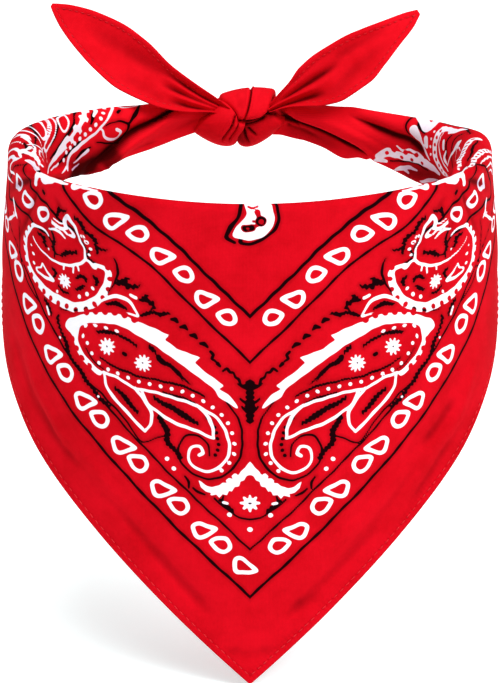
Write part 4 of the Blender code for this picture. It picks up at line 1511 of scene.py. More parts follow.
LEFT_BAND_CREASES = creases("""
    -264,-4.4 -255,-4.6 -246.5,-6.2 -238.5,-9.4 -230.5,-14 -225,-16.6 -220.5,-19 -215.5,-22 -209,-26 +
    -203,-30 | 1.6 1 0.1 0.15 0 1.3 4.2
    -236,-9.4 -230,-12.4 -223,-16 -217,-19.6 -211,-23.6 -203,-28 -192,-32 | 2.3 2 0.3 0.2
    -262,-1.6 -250,-2.6 -240,-5 -232,-8 | -1.2 1.5 0.2 0.3
    -262,-9 -250,-12.4 -238,-18 | 0.5 1.6 0.1 0.5
    -236,-20 -224,-24 -214,-27 | 0.7 2 0.3 0.3
    -266,-3 -262.5,-8 -258,-14 -254,-18 | 2.2 2 0.1 0.1
    -236,-1 -216,-4 -200,-8 | 0.6 1.8
    -276,4 -240,3 -206,2 -180,0 | 0.8 2.4
    -278,8 -244,12 -206,17 -170,22 | 1.3 2.2
    -272,5 -236,8 -196,10 -160,10 | -0.8 2.6
    -260,10.5 -226,17 -190,25 -160,35 | -0.9 2.6
    -216,19 -184,28 -150,44 -128,60 | 0.9 3.2
""")
RIGHT_BAND_CREASES = creases("""
    264,-6 261,-8 256.5,-10.4 250.5,-12.5 245,-14 237.5,-16.5 231,-18.9 227,-20.7 222.5,-23.4 219,-26 | +
    1.8 1 0.1 0.32 0 1.3 3.4
    264,-4 254,-6.6 243,-9.6 233,-12.6 223,-16.6 212,-20 | -1.7 2.3 0.15 0.3
    263,-9.4 257.5,-11.6 253,-14 | 1.4 0.8 0.1 0.4 0.4
    261,-12.4 252,-15.6 242,-19.6 | 0.8 1.3 0.1 0.5
    236,-5.6 228,-8.4 220.5,-11 210,-13.6 201,-15 194,-18 186,-22 | 2.1 1.7 0.3 0.3 0.5 1.3
    240,-2 222,-5.4 206,-8.6 | -0.9 2.6
    262,-1 250,-2.2 238,-2.4 | 0.8 1.2
    278,6 240,10 204,13 166,16 | 1.2 2.2
    270,3 232,5 196,5 160,6 | -0.7 2.6
    258,10 224,16.5 192,24 158,36 | -0.9 2.6
    214,19 180,29 148,45 124,63 | 0.9 3.2
""")
SHADES = shades("""
    -246,-6 -238.5,-9 -230.5,-13.4 -225,-15.8 -220.5,-18.2 -215.5,-21.2 -208.5,-25.6 -204,-29 | 1.1 1.05 +
    2.2 1
    -219,-18 -211,-22 -203,-26 -193,-29 -180,-31 | 0.95 4.2 1.4
    -207,-28 -197,-30 -184,-32 | 0.9 3.6
    -217,-25 -211,-28 -206,-31 | 0.7 3.2
    -268,-3 -263,-8 -258,-13 -253,-19 | 1.1 1.5
    266,-7 262,-9 256.5,-11 250.5,-13 245,-14.6 237.5,-17.2 231,-19.5 227,-21.4 222,-24 | 1.1 1 1.3 1.5
    264,-12 258,-16 246,-19 234,-23 | 0.45 3.2
    266,-9.6 261,-10.6 256,-12.2 | 0.9 0.8
    226,-9.4 219,-11.6 210,-14.2 202,-15.6 195,-18.6 187,-23 | 0.75 1.4 1.8
    208,-27 197,-28.4 187,-28 174,-28 | 0.9 4.4
""")


@dataclass(frozen=True)
class Drape:
    """The cloth with all its creases."""

    creases: tuple[Crease, ...]
    shades: tuple[Shade, ...]

    def shade(self, q: np.ndarray, h: np.ndarray) -> np.ndarray:
        """How dark it is between the folds, over what their own depth gives."""
        return shade_depth(np.stack([q.ravel(), h.ravel()], axis=1), self.shades).reshape(q.shape)

    def surface(self, q: np.ndarray, h: np.ndarray, lift: np.ndarray | float = 0.0) -> Points:
        """Places on the cloth.

        Args:
            q: Places along the ring.
            h: Places down from the top fold.
            lift: How far to stand out from the cloth.
        """
        point, normal = CLOTH.frame(q, h)
        relief = crease_relief(np.stack([q.ravel(), h.ravel()], axis=1), self.creases).reshape(q.shape)
        return point + normal * (relief + lift)[..., None]


DRAPE = Drape(
    (
        *fan(-1, (92, -2), LEFT_FAN),
        *fan(1, (92, -2), RIGHT_FAN),
        *fan(-1, (146, -27), INNER_FAN, 3.4),
        *fan(1, (150, -26), INNER_FAN[1:], 3.4),
        *BIB_CREASES,
        *LEFT_BAND_CREASES,
        *RIGHT_BAND_CREASES,
    ),
    SHADES,
)


def threads(q: np.ndarray, h: np.ndarray) -> Points:
    """Where the cloth's two sets of threads run: they cross its fold at 45 degrees."""
    x, y = q, BIB_DROP - h
    return np.stack([(y + x) / sqrt(2), (y - x) / sqrt(2), np.zeros_like(x)], axis=-1)


class Node(Enum):
    """The frame's solids."""

    BIB = "bib"
    HEM_LEFT = "hem_left"
    HEM_RIGHT = "hem_right"
    BAND_LEFT = "band_left"
    BAND_RIGHT = "band_right"
    WRAP = "knot_wrap"
    LEFT_LOBE = "knot_left_lobe"
    RIGHT_LOBE = "knot_right_lobe"
    LEFT_TAIL = "tail_left"
    RIGHT_TAIL = "tail_right"


@dataclass(frozen=True)
class Seat:
    """What a piece stands for in the frame, and how its cloth was cut."""

    node: Node
    slot: str
    flat: tuple[float, float]
    held: str
    area: float | None = None
    rests_on: tuple[str, ...] = ()

    def declare(self, piece: bpy.types.Object, finish: bpy.types.Material) -> bpy.types.Object:
        """Dresses the piece, hangs it under the root body and hides the frame's solid that it stands for."""
        piece.data.materials.clear()
        piece.data.materials.append(finish)
        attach(piece, "root")
        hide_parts(self.node.value)
        LOG.info("%s: %d faces", piece.name, len(piece.data.polygons))
        return piece


@dataclass(frozen=True)
class Bib:
    """The hanging front: its front ply, its back ply and the leg that is folded in behind the top fold."""

    half_width: float = 104.4
    step: float = 0.6
    coarse: int = 6
    top: float = -7.4
    wall: float = 0.6
    hem_width: float = 3.4
    hem_rise: float = 0.32
    back_half_width: float = 148.0
    back_step: float = 0.8
    back_top: float = 37.0
    back_coarse: int = 5
    back_set: float = 1.3
    print: BibPrint = BibPrint()

    def hem_relief(self, q: np.ndarray, h: np.ndarray) -> np.ndarray:
        """How far the stitched hem stands out from the face."""
        edge = (BIB_DROP - h - np.abs(q)) / sqrt(2)
        rise = self.hem_rise * (1 - ramp(edge, self.hem_width - 0.5, self.hem_width + 0.7))
        rise = rise - 0.28 * bump(edge, self.hem_width - 0.5, 0.5) - 0.3 * (1 - ramp(edge, 0, 0.9))
        ripple = 0.07 * np.sin(2.3 * (q - h)) * bump(edge, self.hem_width - 1.4, 1.6)
        return np.where(edge < 12, rise + ripple, 0)

    def ply(
        self, name: str, half: float, step: float, top: float, coarse: int, set_back: float
    ) -> bpy.types.Object:
        """One ply, cut off along the hem.

        Args:
            name: The piece's name.
            half: How far it reaches to each side.
            step: From one point to the next.
            top: Where it starts, down from the fold.
            coarse: How much coarser its hidden face is.
            set_back: How far it lies behind the front face; over 0 it faces backwards.
        """
        reach = round(half / step)
        order = 1 if set_back == 0 else -1
        longest = round((BIB_DROP - top) / step)
        columns = order * np.arange(-reach - 1, reach + 2)
        q, h = np.meshgrid(step * columns, top + step * np.arange(-1, longest + 2), indexing="ij")
        rise = self.hem_relief(q, h)
        surface = DRAPE.surface(q, h, rise if order > 0 else -set_back)
        normals = grid_normals(surface)
        counts = longest + 1 - np.abs(columns)
        spans = [(i, slice(1, 1 + counts[i])) for i in range(1, len(columns) - 1)]
        back_spans = [(i, slice(1, 1 + counts[i], coarse)) for i in range(1, len(columns) - 1, coarse)]
        inks = self.print.draw(
            np.concatenate([q[i, s] for i, s in spans]), np.concatenate([h[i, s] for i, s in spans])
        )
        values = {colour.value: [ink] for colour, ink in inks.items()}
        # Painted shade: how deep each point lies in the folds, which the finish darkens.
        depth = hollow(surface, normals)
        values["thread"] = [threads(q[i, s], h[i, s]) for i, s in spans]
        values["hollow"] = [depth[i, s] for i, s in spans]
        return shell(
            name,
            [surface[i, s] for i, s in spans],
            [surface[i, s] - normals[i, s] * self.wall for i, s in back_spans],
            coarse,
            values,
            [normals[i, s] for i, s in spans],
        )

    def leg(self) -> bpy.types.Object:
        """The folded layers behind the top fold, which end in a soft folded edge."""
        columns, rows, coarse = 132, 66, 6
        q = self.half_width / columns * 2 * np.arange(columns // 2 + 1, -columns // 2 - 2, -1)
        end = CLOTH.inner_end(q)
        h = self.top + (end[:, None] - self.top) * np.linspace(0, 1, rows + 1)[None, :]
        turn = CLOTH.turn(q, np.zeros_like(q))
        wall = 0.5 + 0.8 * FORM.size("inner_wall", turn)[:, None] * ramp(-h, 9, 30)
        return band_shell("bib_leg", q, h, wall, (0, 6), coarse, FieldPrint())


@dataclass(frozen=True)
class Band:
    """One side of the ring, from the bib round to the knot: an upside-down U of folded cloth."""

    side: int
    node: Node
    pattern: BandPrint
    start: float = 104.4
    end: float = 266.4
    wall: float = 1.1
    columns: int = 224
    rows: tuple[int, int, int] = (44, 24, 92)
    bends: tuple[int, int] = (6, 2)
    coarse: int = 4

    def build(self) -> bpy.types.Object:
        """Makes the band."""
        step = (self.end - self.start) / self.columns
        q = self.side * (self.start + step * np.arange(-1, self.columns + 2))
        q = q[:: self.side]
        turn = CLOTH.turn(q, np.zeros_like(q))
        crest = FORM.size("roll_height", turn)
        foot = crest - CLOTH.roll_length(turn)
        stops = np.stack([CLOTH.inner_end(q), foot, crest, CLOTH.outer_end(q)], axis=1)
        parts = [
            start[:, None] + (end - start)[:, None] * np.arange(count)[None, :] / count
            for start, end, count in zip(stops.T[:-1], stops.T[1:], self.rows)
        ]
        h = np.concatenate([*parts, stops[:, -1:]], axis=1)
        below = np.maximum(foot[:, None] - h, 0)
        thick = 0.82 * FORM.size("inner_wall", turn)[:, None] - self.wall
        wall = self.wall + thick * ramp(below, 0, 14)
        return band_shell(self.node.value + "_cloth", q, h, wall, self.bends, self.coarse, self.pattern)


def edge_arc(edge: Points, before: Points, normal: Points, radius: np.ndarray, steps: int) -> list[Points]:
    """Points round a folded edge, from the visible face to the hidden one.

    Args:
        edge: The visible face's last points.
        before: The points before them.
        normal: The visible face's normals at the edge.
        radius: Half the cloth's thickness there.
        steps: How many points to lay round the edge.
    """
    beyond = edge - before
    beyond /= np.linalg.norm(beyond, axis=-1, keepdims=True)
    middle = edge - normal * radius
    angles = radians(165) * np.arange(1, steps + 1) / max(steps, 1)
    return [middle + radius * (normal * cos(angle) + beyond * sin(angle)) for angle in angles]


def band_shell(
    name: str,
    q: np.ndarray,
    h: np.ndarray,
    wall: np.ndarray,
    bends: tuple[int, int],
    coarse: int,
    pattern: FieldPrint | BandPrint,
) -> bpy.types.Object:
    """A stretch of cloth whose top and bottom edges are round.

    Args:
        name: The piece's name.
        q: One place along the ring for each column, with a spare one at each end.
        h: Places down from the fold, one row for each column.
        wall: The cloth's thickness there.
        bends: How many steps round its first and last edges.
        coarse: How much coarser its hidden face is.
        pattern: The print.

    Returns:
        The new object.
    """
    q_grid = np.broadcast_to(q[:, None], h.shape)
    surface = DRAPE.surface(q_grid, h)
    normals = grid_normals(surface)
    first = edge_arc(surface[:, 0], surface[:, 1], normals[:, 0], wall[:, :1] / 2, bends[0])[::-1]
    last = edge_arc(surface[:, -1], surface[:, -2], normals[:, -1], wall[:, -1:] / 2, bends[1])
    face = np.stack([*first, *np.moveaxis(surface, 1, 0), *last], axis=1)
    face_normals = grid_normals(face)
    run = 0.5 * wall.mean()
    lead = np.sign(h[:, 1] - h[:, 0])[:, None] * run
    h_face = np.concatenate(
        [
            h[:, :1] - lead * np.arange(bends[0], 0, -1)[None, :],
            h,
            h[:, -1:] + lead * np.arange(1, bends[1] + 1)[None, :],
        ],
        axis=1,
    )[1:-1]
    q_face = np.broadcast_to(q[1:-1, None], h_face.shape)
    picks = np.linspace(0, h.shape[1] - 1, (face.shape[1] - 1) // coarse + 1).round().astype(int)
    columns = np.arange(1, len(q) - 1, coarse)[:, None]
    back = surface[columns, picks] - normals[columns, picks] * wall[columns, picks][..., None]
    inks = pattern.draw(q_face.ravel(), h_face.ravel())
    values = {colour.value: [ink] for colour, ink in inks.items()}
    values["thread"] = [threads(q_face, h_face).reshape(-1, 3)]
    # Painted shade: the folds' depth and the listed shade paths, which the finish darkens.
    depth = hollow(face, face_normals)[1:-1] + DRAPE.shade(q_face, h_face)
    values["hollow"] = [depth.clip(0, 1.25).ravel()]
    # Painted light: a brighter red over the bands' inner legs towards the knot, where little light gets
    # inside the ring.
    values["painted_light"] = [(ramp(np.abs(q_face), 150, 225) * ramp(-h_face, -2, 4)).ravel()]
    return shell(name, list(face[1:-1]), list(back), coarse, values, list(face_normals[1:-1]))


@dataclass(frozen=True)
class HemStrip:
    """The rolled hem on the back of the hanging front, up one side from the tip."""

    side: int
    node: Node
    end: float = 158.0
    inset: float = 0.9
    width: float = 4.6
    thickness: float = 0.9
    set_back: float = 2.2

    def build(self) -> bpy.types.Object:
        """Makes the strip."""
        q = np.linspace(0.15, self.end, 241)[:: -self.side]
        around = np.array(places("0,0 0.1,0.62 0.3,0.96 0.62,1 0.88,0.92 1,0.45 1,0 0.5,0"))
        edge = self.inset + self.width * around[:, 0]
        h = BIB_DROP - np.abs(q)[:, None] - edge[None, :] * sqrt(2)
        ripple = 0.06 * np.sin(2.1 * q)[:, None] * (around[:, 1] > 0.5)
        lift = -self.set_back - self.thickness * around[None, :, 1]
        rings = DRAPE.surface(self.side * np.broadcast_to(q[:, None], h.shape), h, lift - ripple)
        return outward_again(loft(self.node.value + "_strip", rings))


def loft(name: str, rings: Points, loop: bool = False, dark: np.ndarray | float = 0.0) -> bpy.types.Object:
    """A closed surface through rings of points.

    Args:
        name: The piece's name.
        rings: (rings, points round a ring, 3), in millimetres.
        loop: Whether the last ring joins the first; otherwise both ends are closed.
        dark: How much painted shade each point gets over what the folds give.

    Returns:
        The new object.
    """
    count, around = rings.shape[:2]
    numbers = np.arange(count * around).reshape(count, around)
    here, there = (numbers, np.roll(numbers, -1, axis=0)) if loop else (numbers[:-1], numbers[1:])
    quads = np.stack([here, np.roll(here, -1, axis=1), np.roll(there, -1, axis=1), there], axis=-1)
    faces = quads.reshape(-1, 4).tolist()
    points = rings.reshape(-1, 3)
    if not loop:
        points = np.concatenate([points, rings[:1].mean(axis=1), rings[-1:].mean(axis=1)])
        head, tail = count * around, count * around + 1
        for a, b in zip(numbers[0], np.roll(numbers[0], -1)):
            faces.append((head, int(b), int(a)))
        for a, b in zip(numbers[-1], np.roll(numbers[-1], -1)):
            faces.append((tail, int(a), int(b)))
    piece = add_piece(name, points * MM, faces)
    spare = 8
    wide = np.pad(rings, ((spare, spare), (0, 0), (0, 0)), mode="wrap" if loop else "edge")
    wide = np.pad(wide, ((0, 0), (spare, spare), (0, 0)), mode="wrap")
    normals = grid_normals(wide)
    inside = slice(spare, -spare)
    away = ((rings - rings.mean(axis=(0, 1))) * normals[inside, inside]).sum()
    # Painted shade: the folds' depth, with the given extra dark, which the finish darkens.
    depth = (hollow(wide, normals * np.sign(away))[inside, inside] + dark).clip(0, 1.25).ravel()
    write_attribute(piece, "hollow", np.concatenate([depth, np.zeros(len(points) - len(depth))]))
    return piece


def outward_again(piece: bpy.types.Object) -> bpy.types.Object:
    """Turns a closed piece's faces outwards."""
    form = bmesh.new()
    form.from_mesh(piece.data)
    bmesh.ops.recalc_face_normals(form, faces=form.faces)
    form.to_mesh(piece.data)
    form.free()
    return piece


# --------------------------------------------------------------------------------------------- the knot


class WrapEdge(NamedTuple):
    """The wrap's two edges at one angle round it: 0 faces the ring, 90 is up."""

    angle: float
    left: float
    right: float


@dataclass(frozen=True)
class Knot:
    """The wrap, a turn of cloth round the crossed ends, and the two lobes that swell out of it."""

    centre: tuple[float, float, float] = (0.0, 54.0, -11.3)
    half_depth: float = 11.2
    rise: float = 11.2
    fall: float = 9.4
    wall: float = 2.6
    crown: float = 1.2
    slope: float = 2.2
    seam: float = -3.2
    seam_slant: float = 2.2
    tuck: float = 5.4
    reach: float = 22.6
    clear: float = 0.15
    end_depth: float = 2.2
    end_height: float = 5.4
    # how far the painted shadow of the wrap reaches along a lobe
    gloom_width: float = 6.0
    edges: tuple[WrapEdge, ...] = records(WrapEdge, """
        -180 -8 9
        -140 -6.8 4
        -105 -4.8 -1.2
        -50 -4.4 -2.2
        -10 -4.4 -2.2
        2 -4.7 -0.6
        14 -5.2 4.6
        27 -6.2 7.2
        50 -9.2 8.8
        75 -12.2 9.6
        100 -13 10.6
        140 -10.5 11
        180 -8 9
    """)

    def edge(self, column: str, angle: np.ndarray) -> np.ndarray:
        """Where the wrap ends on one side, at angles round it."""
        return read_column(self.edges, column, angle)

    def spoke(self, angle: np.ndarray, inset: np.ndarray) -> Points:
        """Places on the wrap's oval, moved in by the inset, across the ring."""
        angle, inset = np.broadcast_arrays(angle, inset)
        height = self.fall + (self.rise - self.fall) * ramp(np.sin(angle), -0.25, 0.25)
        y, z = -np.cos(angle) * (self.half_depth - inset), np.sin(angle) * (height - inset)
        return np.stack([np.zeros_like(angle), y, z], axis=-1)

    def wrap(self) -> bpy.types.Object:
        """The turn of cloth that closes the knot, wide on top and drawn together underneath."""
        angle = np.linspace(-pi, pi, 180, endpoint=False)[:, None]
        left, right = self.edge("left", angle), self.edge("right", angle)
        bend = np.linspace(0, pi, 9)[1:-1]
        flat, under = np.linspace(0, 1, 61), np.linspace(1, 0, 11)
        width = right - left
        radius = np.minimum(self.wall / 2, 0.42 * width)
        x = np.concatenate(
            [
                left + radius + (width - 2 * radius) * flat,
                right - radius + radius * np.sin(bend),
                left + radius + (width - 2 * radius) * under,
                left + radius - radius * np.sin(bend),
            ],
            axis=1,
        )
        lean = self.wall / 2 * (1 - np.cos(bend))
        inset = np.concatenate([0 * flat, lean, 0 * under + self.wall, lean[::-1]])
        turned_in = self.tuck * ramp(-np.degrees(angle), -15, 3) * ramp(np.degrees(angle), -150, -105)
        turned_out = 0.5 * np.cos(bend)
        outside = np.concatenate([np.ones(61), 0.5 + turned_out, np.zeros(11), 0.5 - turned_out])
        share = (x - left) / width
        top = np.broadcast_to(np.degrees(angle), x.shape)
        folds = crease_relief(
            np.stack([top.ravel() / 6, x.ravel()], axis=1),
            creases("""
                -1,-3.4 2,-1.8 5,-0.6 9,0.3 14,0.8 18,0.6 23,-0.4 | 1.9 0.42 0.1 0.3 0.9
                5,-2 10,-1.2 17,-1 | -0.35 0.8
                2,0.8 6,4 12,5.6 | -0.4 1.3
                4,-3.6 9,-5.2 14,-7.6 | 0.35 1.4
                20,-4 27,-3 30,-1 | 1 0.8
                21,4 27,4.6 30,3.4 | 0.9 0.8
                -26,-2 -20,-0.6 -14,0 | 1 0.6
            """),
        ).reshape(x.shape)
        crown = self.crown * (1 - (2 * share - 1) ** 2) * outside * ramp(width, 2, 12)
        sunk = turned_in + self.slope * (1 - share) ** 2 * ramp(np.sin(angle), 0.1, 0.8)
        places = self.spoke(angle, inset + sunk - crown - folds * outside * ramp(width, 3, 8))
        places[..., 0] = x
        piece = outward_again(loft("knot_wrap_cloth", places + self.centre, loop=True))
        write_attribute(
            piece, "thread", np.stack([x + top * 0.19, x - top * 0.19, 0 * x], axis=-1).reshape(-1, 3) * 0.71
        )
        return piece

    def lobe(self, lobe: "Lobe") -> bpy.types.Object:
        """The end of one band in the knot, as a hollow roll that swells where the wrap leaves it free."""
        side = -1 if lobe.column == "left" else 1
        whole = self.reach - side * self.seam
        share = np.linspace(-0.06, 1, 76)
        reach = (share * whole)[:, None]
        angle = np.linspace(-pi, pi, 132, endpoint=False)[None, :]
        bare = ramp(-np.degrees(angle), -2, 9) * ramp(np.degrees(angle), -120, -90)
        free = np.abs(self.edge(lobe.column, angle) - self.seam) * (1 - bare) + self.clear
        last = whole * lobe.length * (1 - lobe.slant * ramp(np.sin(angle), -0.3, 1.0))
        opened = np.clip((reach - free) / (last - free), 0, 1) ** lobe.skew
        opened = opened + 0.22 * bare * (1 - opened)
        ahead, up = np.cos(angle), np.sin(angle)
        flat = (1 - np.abs(2 * opened - 1) ** 4.5) ** 0.7
        level = np.where(ahead > 0, lobe.front, lobe.behind) * flat
        rounded = np.where(up > 0, lobe.above, lobe.below) * (1 - (2 * opened - 1) ** 2)
        swell = level * ahead**2 + rounded * up**2
        reaches, angles = np.broadcast_arrays(reach, np.degrees(angle))
        folds = crease_relief(np.stack([reaches.ravel(), angles.ravel() / 6], axis=1), lobe.creases)
        folds = folds.reshape(reaches.shape) * ramp(reach - free, -0.2, 0.6)
        surfaces = []
        for wall in (0.0, 0.9):
            core = self.spoke(angle, self.wall + 0.8 - swell - folds + wall + 1.3 * ramp(-reach, -0.5, 1.3))
            y, z = -np.cos(angle) * (self.end_depth - wall), np.sin(angle) * (self.end_height - wall)
            end = np.stack(np.broadcast_arrays(0.0, y, z), axis=-1)
            close = ramp(reach, last - 1.2, np.minimum(last + 2.6, whole))[..., None]
            place = core * (1 - close) + end * close
            seam = self.seam - self.seam_slant * ramp(-angle, radians(4), radians(48)) * (1 - close[..., 0])
            place[..., 0] = seam + side * (reach - wall * ramp(share, 0.9, 1.0)[:, None])
            surfaces.append(place + self.centre)
        rings = np.concatenate([surfaces[0], surfaces[1][::-3, :]])
        # Painted shadow of the wrap: darker just past where the wrap leaves the lobe, on its side that faces
        # the ring.
        dark = lobe.gloom * bump(reach, free, self.gloom_width) * ramp(np.cos(angle), 0.2, 0.7)
        dark = np.concatenate([dark, dark[::-3]])
        piece = outward_again(loft(lobe.node.value + "_cloth", rings, loop=True, dark=dark))
        way = np.stack([reaches + angles * 0.17, reaches - angles * 0.17, 0 * reaches], axis=-1)
        way = np.concatenate([way, way[::-3]])
        write_attribute(piece, "thread", way.reshape(-1, 3) * 0.71)
        return piece


@dataclass(frozen=True)
class Lobe:
    """How far a lobe swells past the wrap on each of its sides, and its creases in reach and angle / 6."""

    column: str
    node: Node
    front: float
    above: float
    behind: float
    below: float
    # how dark the wrap's painted shadow is on the lobe
    gloom: float
    skew: float
    length: float
    slant: float
    creases: tuple[Crease, ...]


LEFT_LOBE = Lobe(
    "left",
    Node.LEFT_LOBE,
    4.2,
    -0.4,
    3.0,
    7.0,
    0.12,
    0.7,
    0.98,
    0.5,
    creases("""
        2.6,3.4 3.8,0 5.1,-3.6 6.2,-8.6 | 2.4 0.42 0.1 0.2 -0.6
        1.2,2 2,-1.4 3,-5.4 3.6,-8.6 | 2 0.36 0.1 0.2 0.4
        4.8,2 6,-2 8.2,-7 | -0.6 0.8 0.1 0.3
        6,6 10,1 14,-5 | -0.5 2.2
        7,12 11,16 14,20 | 0.9 1.2
        5,26 9,24 15,25 | 1.2 1.1
        6,-24 10,-26 16,-25 | 1.1 1.2
    """),
)
RIGHT_LOBE = Lobe(
    "right",
    Node.RIGHT_LOBE,
    1.4,
    0.0,
    3.0,
    7.4,
    0.85,
    0.68,
    0.66,
    0.4,
    creases("""
        0.6,-2.6 2,-1.6 4.8,-0.8 8,1.2 10.3,3.4 | 2.4 0.7 0.1 0.3
        0.5,-2.4 2.8,-5.4 5.6,-10.6 | 2 0.42 0.1 0.3 0.5
        2.2,-2.4 5,-4.6 9.2,-7.4 | 1.3 0.5 0.2 0.4 0.3
        9.6,4.6 13,3.6 16,3.1 | 1.6 0.6 0.1 0.4 0.3
        12,25 16,27 22,26 | 1.1 1.1
        11,-22 15,-24 21,-26 | 1.1 1.2
    """),
)


class TailSection(NamedTuple):
    """One station of a tail: along its axis, and to its two edges."""

    along: float
    upper: float
    lower: float


@dataclass(frozen=True)
class Tail:
    """A leaf-shaped end of folded cloth, cupped across and pleated where it leaves the knot."""

    side: int
    node: Node
    root: tuple[float, float, float]
    tip: tuple[float, float, float]
    sections: tuple[TailSection, ...]
    creases: tuple[Crease, ...]  # in distance along the tail and height over its axis
    wall: float = 1.5
    cup: float = 3.2
    bow: float = 5.0
    tilt: float = 28.0
    hem: float = 1.9

    def edges(self, along: np.ndarray) -> tuple[np.ndarray, np.ndarray]:
        """How far the upper and the lower edge lie from the axis."""
        places = [row.along for row in self.sections]
        return (
            through(places, [row.upper for row in self.sections], along),
            through(places, [row.lower for row in self.sections], along),
        )

    def place(self, along: np.ndarray, share: np.ndarray, lift: np.ndarray | float) -> Points:
        """Places on the tail, from its upper edge (share 0) to its lower one (1), lifted off its middle."""
        root, tip = np.array(self.root), np.array(self.tip)
        axis = (tip - root) / np.linalg.norm(tip - root)
        facing = np.array((0.0, -cos(radians(self.tilt)), sin(radians(self.tilt))))
        facing -= axis * facing.dot(axis)
        facing /= np.linalg.norm(facing)
        across = np.cross(facing, axis) * self.side
        upper, lower = self.edges(along)
        offset = upper - share * (upper + lower)
        run = along / self.sections[-1].along
        belly = self.cup * np.sin(pi * share) * np.sin(pi * np.minimum(1.0, 0.15 + run))
        flute = 0.9 * np.cos(4 * pi * share) * (1 - np.maximum(run, 0)) ** 2
        folds = crease_relief(np.stack([along.ravel(), offset.ravel()], axis=1), self.creases)
        rim = np.minimum(upper - offset, offset + lower)
        stitched = 0.3 * (1 - ramp(rim, 2.2, 3.2)) - 0.3 * bump(rim, 2.4, 0.45)
        stitched = stitched * ramp(run, 0.12, 0.3) * (1 - ramp(run, 0.93, 1))
        out = self.bow * np.sin(pi * run) - belly + flute + folds.reshape(along.shape)
        out = out + lift + stitched * np.sign(lift)
        return root + axis * along[..., None] + across * offset[..., None] + facing * out[..., None]

    def build(self) -> bpy.types.Object:
        """Makes the tail."""
        along = np.linspace(self.sections[0].along, self.sections[-1].along, 131)[:, None]
        front = np.linspace(0, 1, 49)
        share = np.concatenate([front, front[::-1]])
        edge = np.sqrt(np.clip(1 - np.abs(2 * front - 1) ** 10, 0.04, 1))
        lift = np.concatenate([edge, -edge]) * self.wall / 2
        along, share, lift = np.broadcast_arrays(along, share[None, :], lift[None, :])
        thin = 1 - 0.35 * along / along.max()
        piece = outward_again(loft(self.node.value + "_cloth", self.place(along, share, lift * thin)))
        upper, lower = self.edges(along)
        offset = upper - share * (upper + lower)
        way = np.stack([along + offset, along - offset, 0 * along], axis=-1).reshape(-1, 3) * 0.71
        write_attribute(piece, "thread", np.concatenate([way, way[:1], way[-1:]]))
        return piece

    def hem_lines(self) -> list[Points]:
        """The two stitch lines on the side that faces the camera."""
        along = np.linspace(0.14, 0.96, 60) * self.sections[-1].along
        upper, lower = self.edges(along)
        inset = self.hem * 1.25 / (upper + lower)
        return [self.place(along, share, 0.5 * self.wall + 0 * along) for share in (inset, 1 - inset)]


TAILS = (
    Tail(
        -1,
        Node.LEFT_TAIL,
        (-13.3, 46.2, -2.0),
        (-85.2, 64.0, 35.3),
        records(TailSection, """
            -6 -0.6 3.4
            0 0.2 6.2
            11 0.8 12.6
            22.5 1.9 16.4
            38 5.8 17.8
            50 7.2 15.6
            61.5 6.4 11.8
            72 4.2 7
            78.4 1.8 2.8
            80.7 0.7 0.9
        """),
        creases("""
            -6,-1.4 8,-2 30,-0.6 | 1.6 0.6 0.05 0.5 0.3 3
            -6,-2 8,-4.6 28,-6.4 | 1.9 0.6 0.05 0.4 0.3 3
            -6,-1.7 10,-3.2 34,-3.4 | -0.9 0.8 0.05 0.6 0 3
            -6,-2.6 6,-7.4 20,-11.4 | 1.6 0.6 0.05 0.4 0 3
            -6,-2.3 7,-6 24,-9 | -0.8 0.7 0.05 0.5 0 3
            20,-3 44,-2 70,-1 | 1.1 4 0.4 0.4
            34,-12 52,-9 68,-4 | -0.6 3
        """),
    ),
    Tail(
        1,
        Node.RIGHT_TAIL,
        (11.7, 46.2, -1.4),
        (72.6, 62.0, 33.0),
        records(TailSection, """
            -6 -0.4 3
            0 1.2 4.8
            7.5 3.2 9
            14.2 5.8 13.2
            23.6 7 15.9
            35.8 6.8 15.4
            45.3 5.6 12.2
            54.7 4 8.4
            64.2 2.4 4.6
            69.4 1 1.4
        """),
        creases("""
            -6,-0.9 10,0.8 36,2.6 | -1 0.8 0.05 0.5 0 3.4
            -6,-1.3 9,-1.2 34,-1.2 | 1.8 0.6 0.05 0.5 0.2 3.4
            -6,-2 6,-4.6 20,-9 | 1.9 0.6 0.05 0.4 0.3 3
            -6,-1.6 9,-3.6 30,-5.6 | -0.9 0.8 0.05 0.6 0 3.2
            -6,-0.6 6,1.8 16,4.6 | 1.2 0.6 0.05 0.4 0 2.6
            20,-8 36,-6 56,-3 | 1 3.4 0.4 0.4
            22,2 40,1 60,0 | 0.6 2.6 0.4 0.4
        """),
    ),
)


# ------------------------------------------------------------------------------------------- finishes

Socket = bpy.types.NodeSocket
Tree = bpy.types.NodeTree
READ, NOISE, RANGE = "ShaderNodeAttribute", "ShaderNodeTexNoise", "ShaderNodeMapRange"
MATH, MIX, PRINCIPLED = "ShaderNodeMath", "ShaderNodeMix", "ShaderNodeBsdfPrincipled"
TIMES, BLEND = {"operation": "MULTIPLY"}, {"data_type": "RGBA"}
DARKEN = {"data_type": "RGBA", "blend_type": "MULTIPLY"}
SHARE, FIRST, SECOND, RESULT = 0, 6, 7, 2  # a colour Mix node's sockets


def linear(code: str) -> tuple[float, float, float, float]:
    """The linear colour of an sRGB hex code."""
    parts = [int(code[i : i + 2], 16) / 255 for i in (0, 2, 4)]
    return (*(p / 12.92 if p <= 0.04045 else ((p + 0.055) / 1.055) ** 2.4 for p in parts), 1.0)


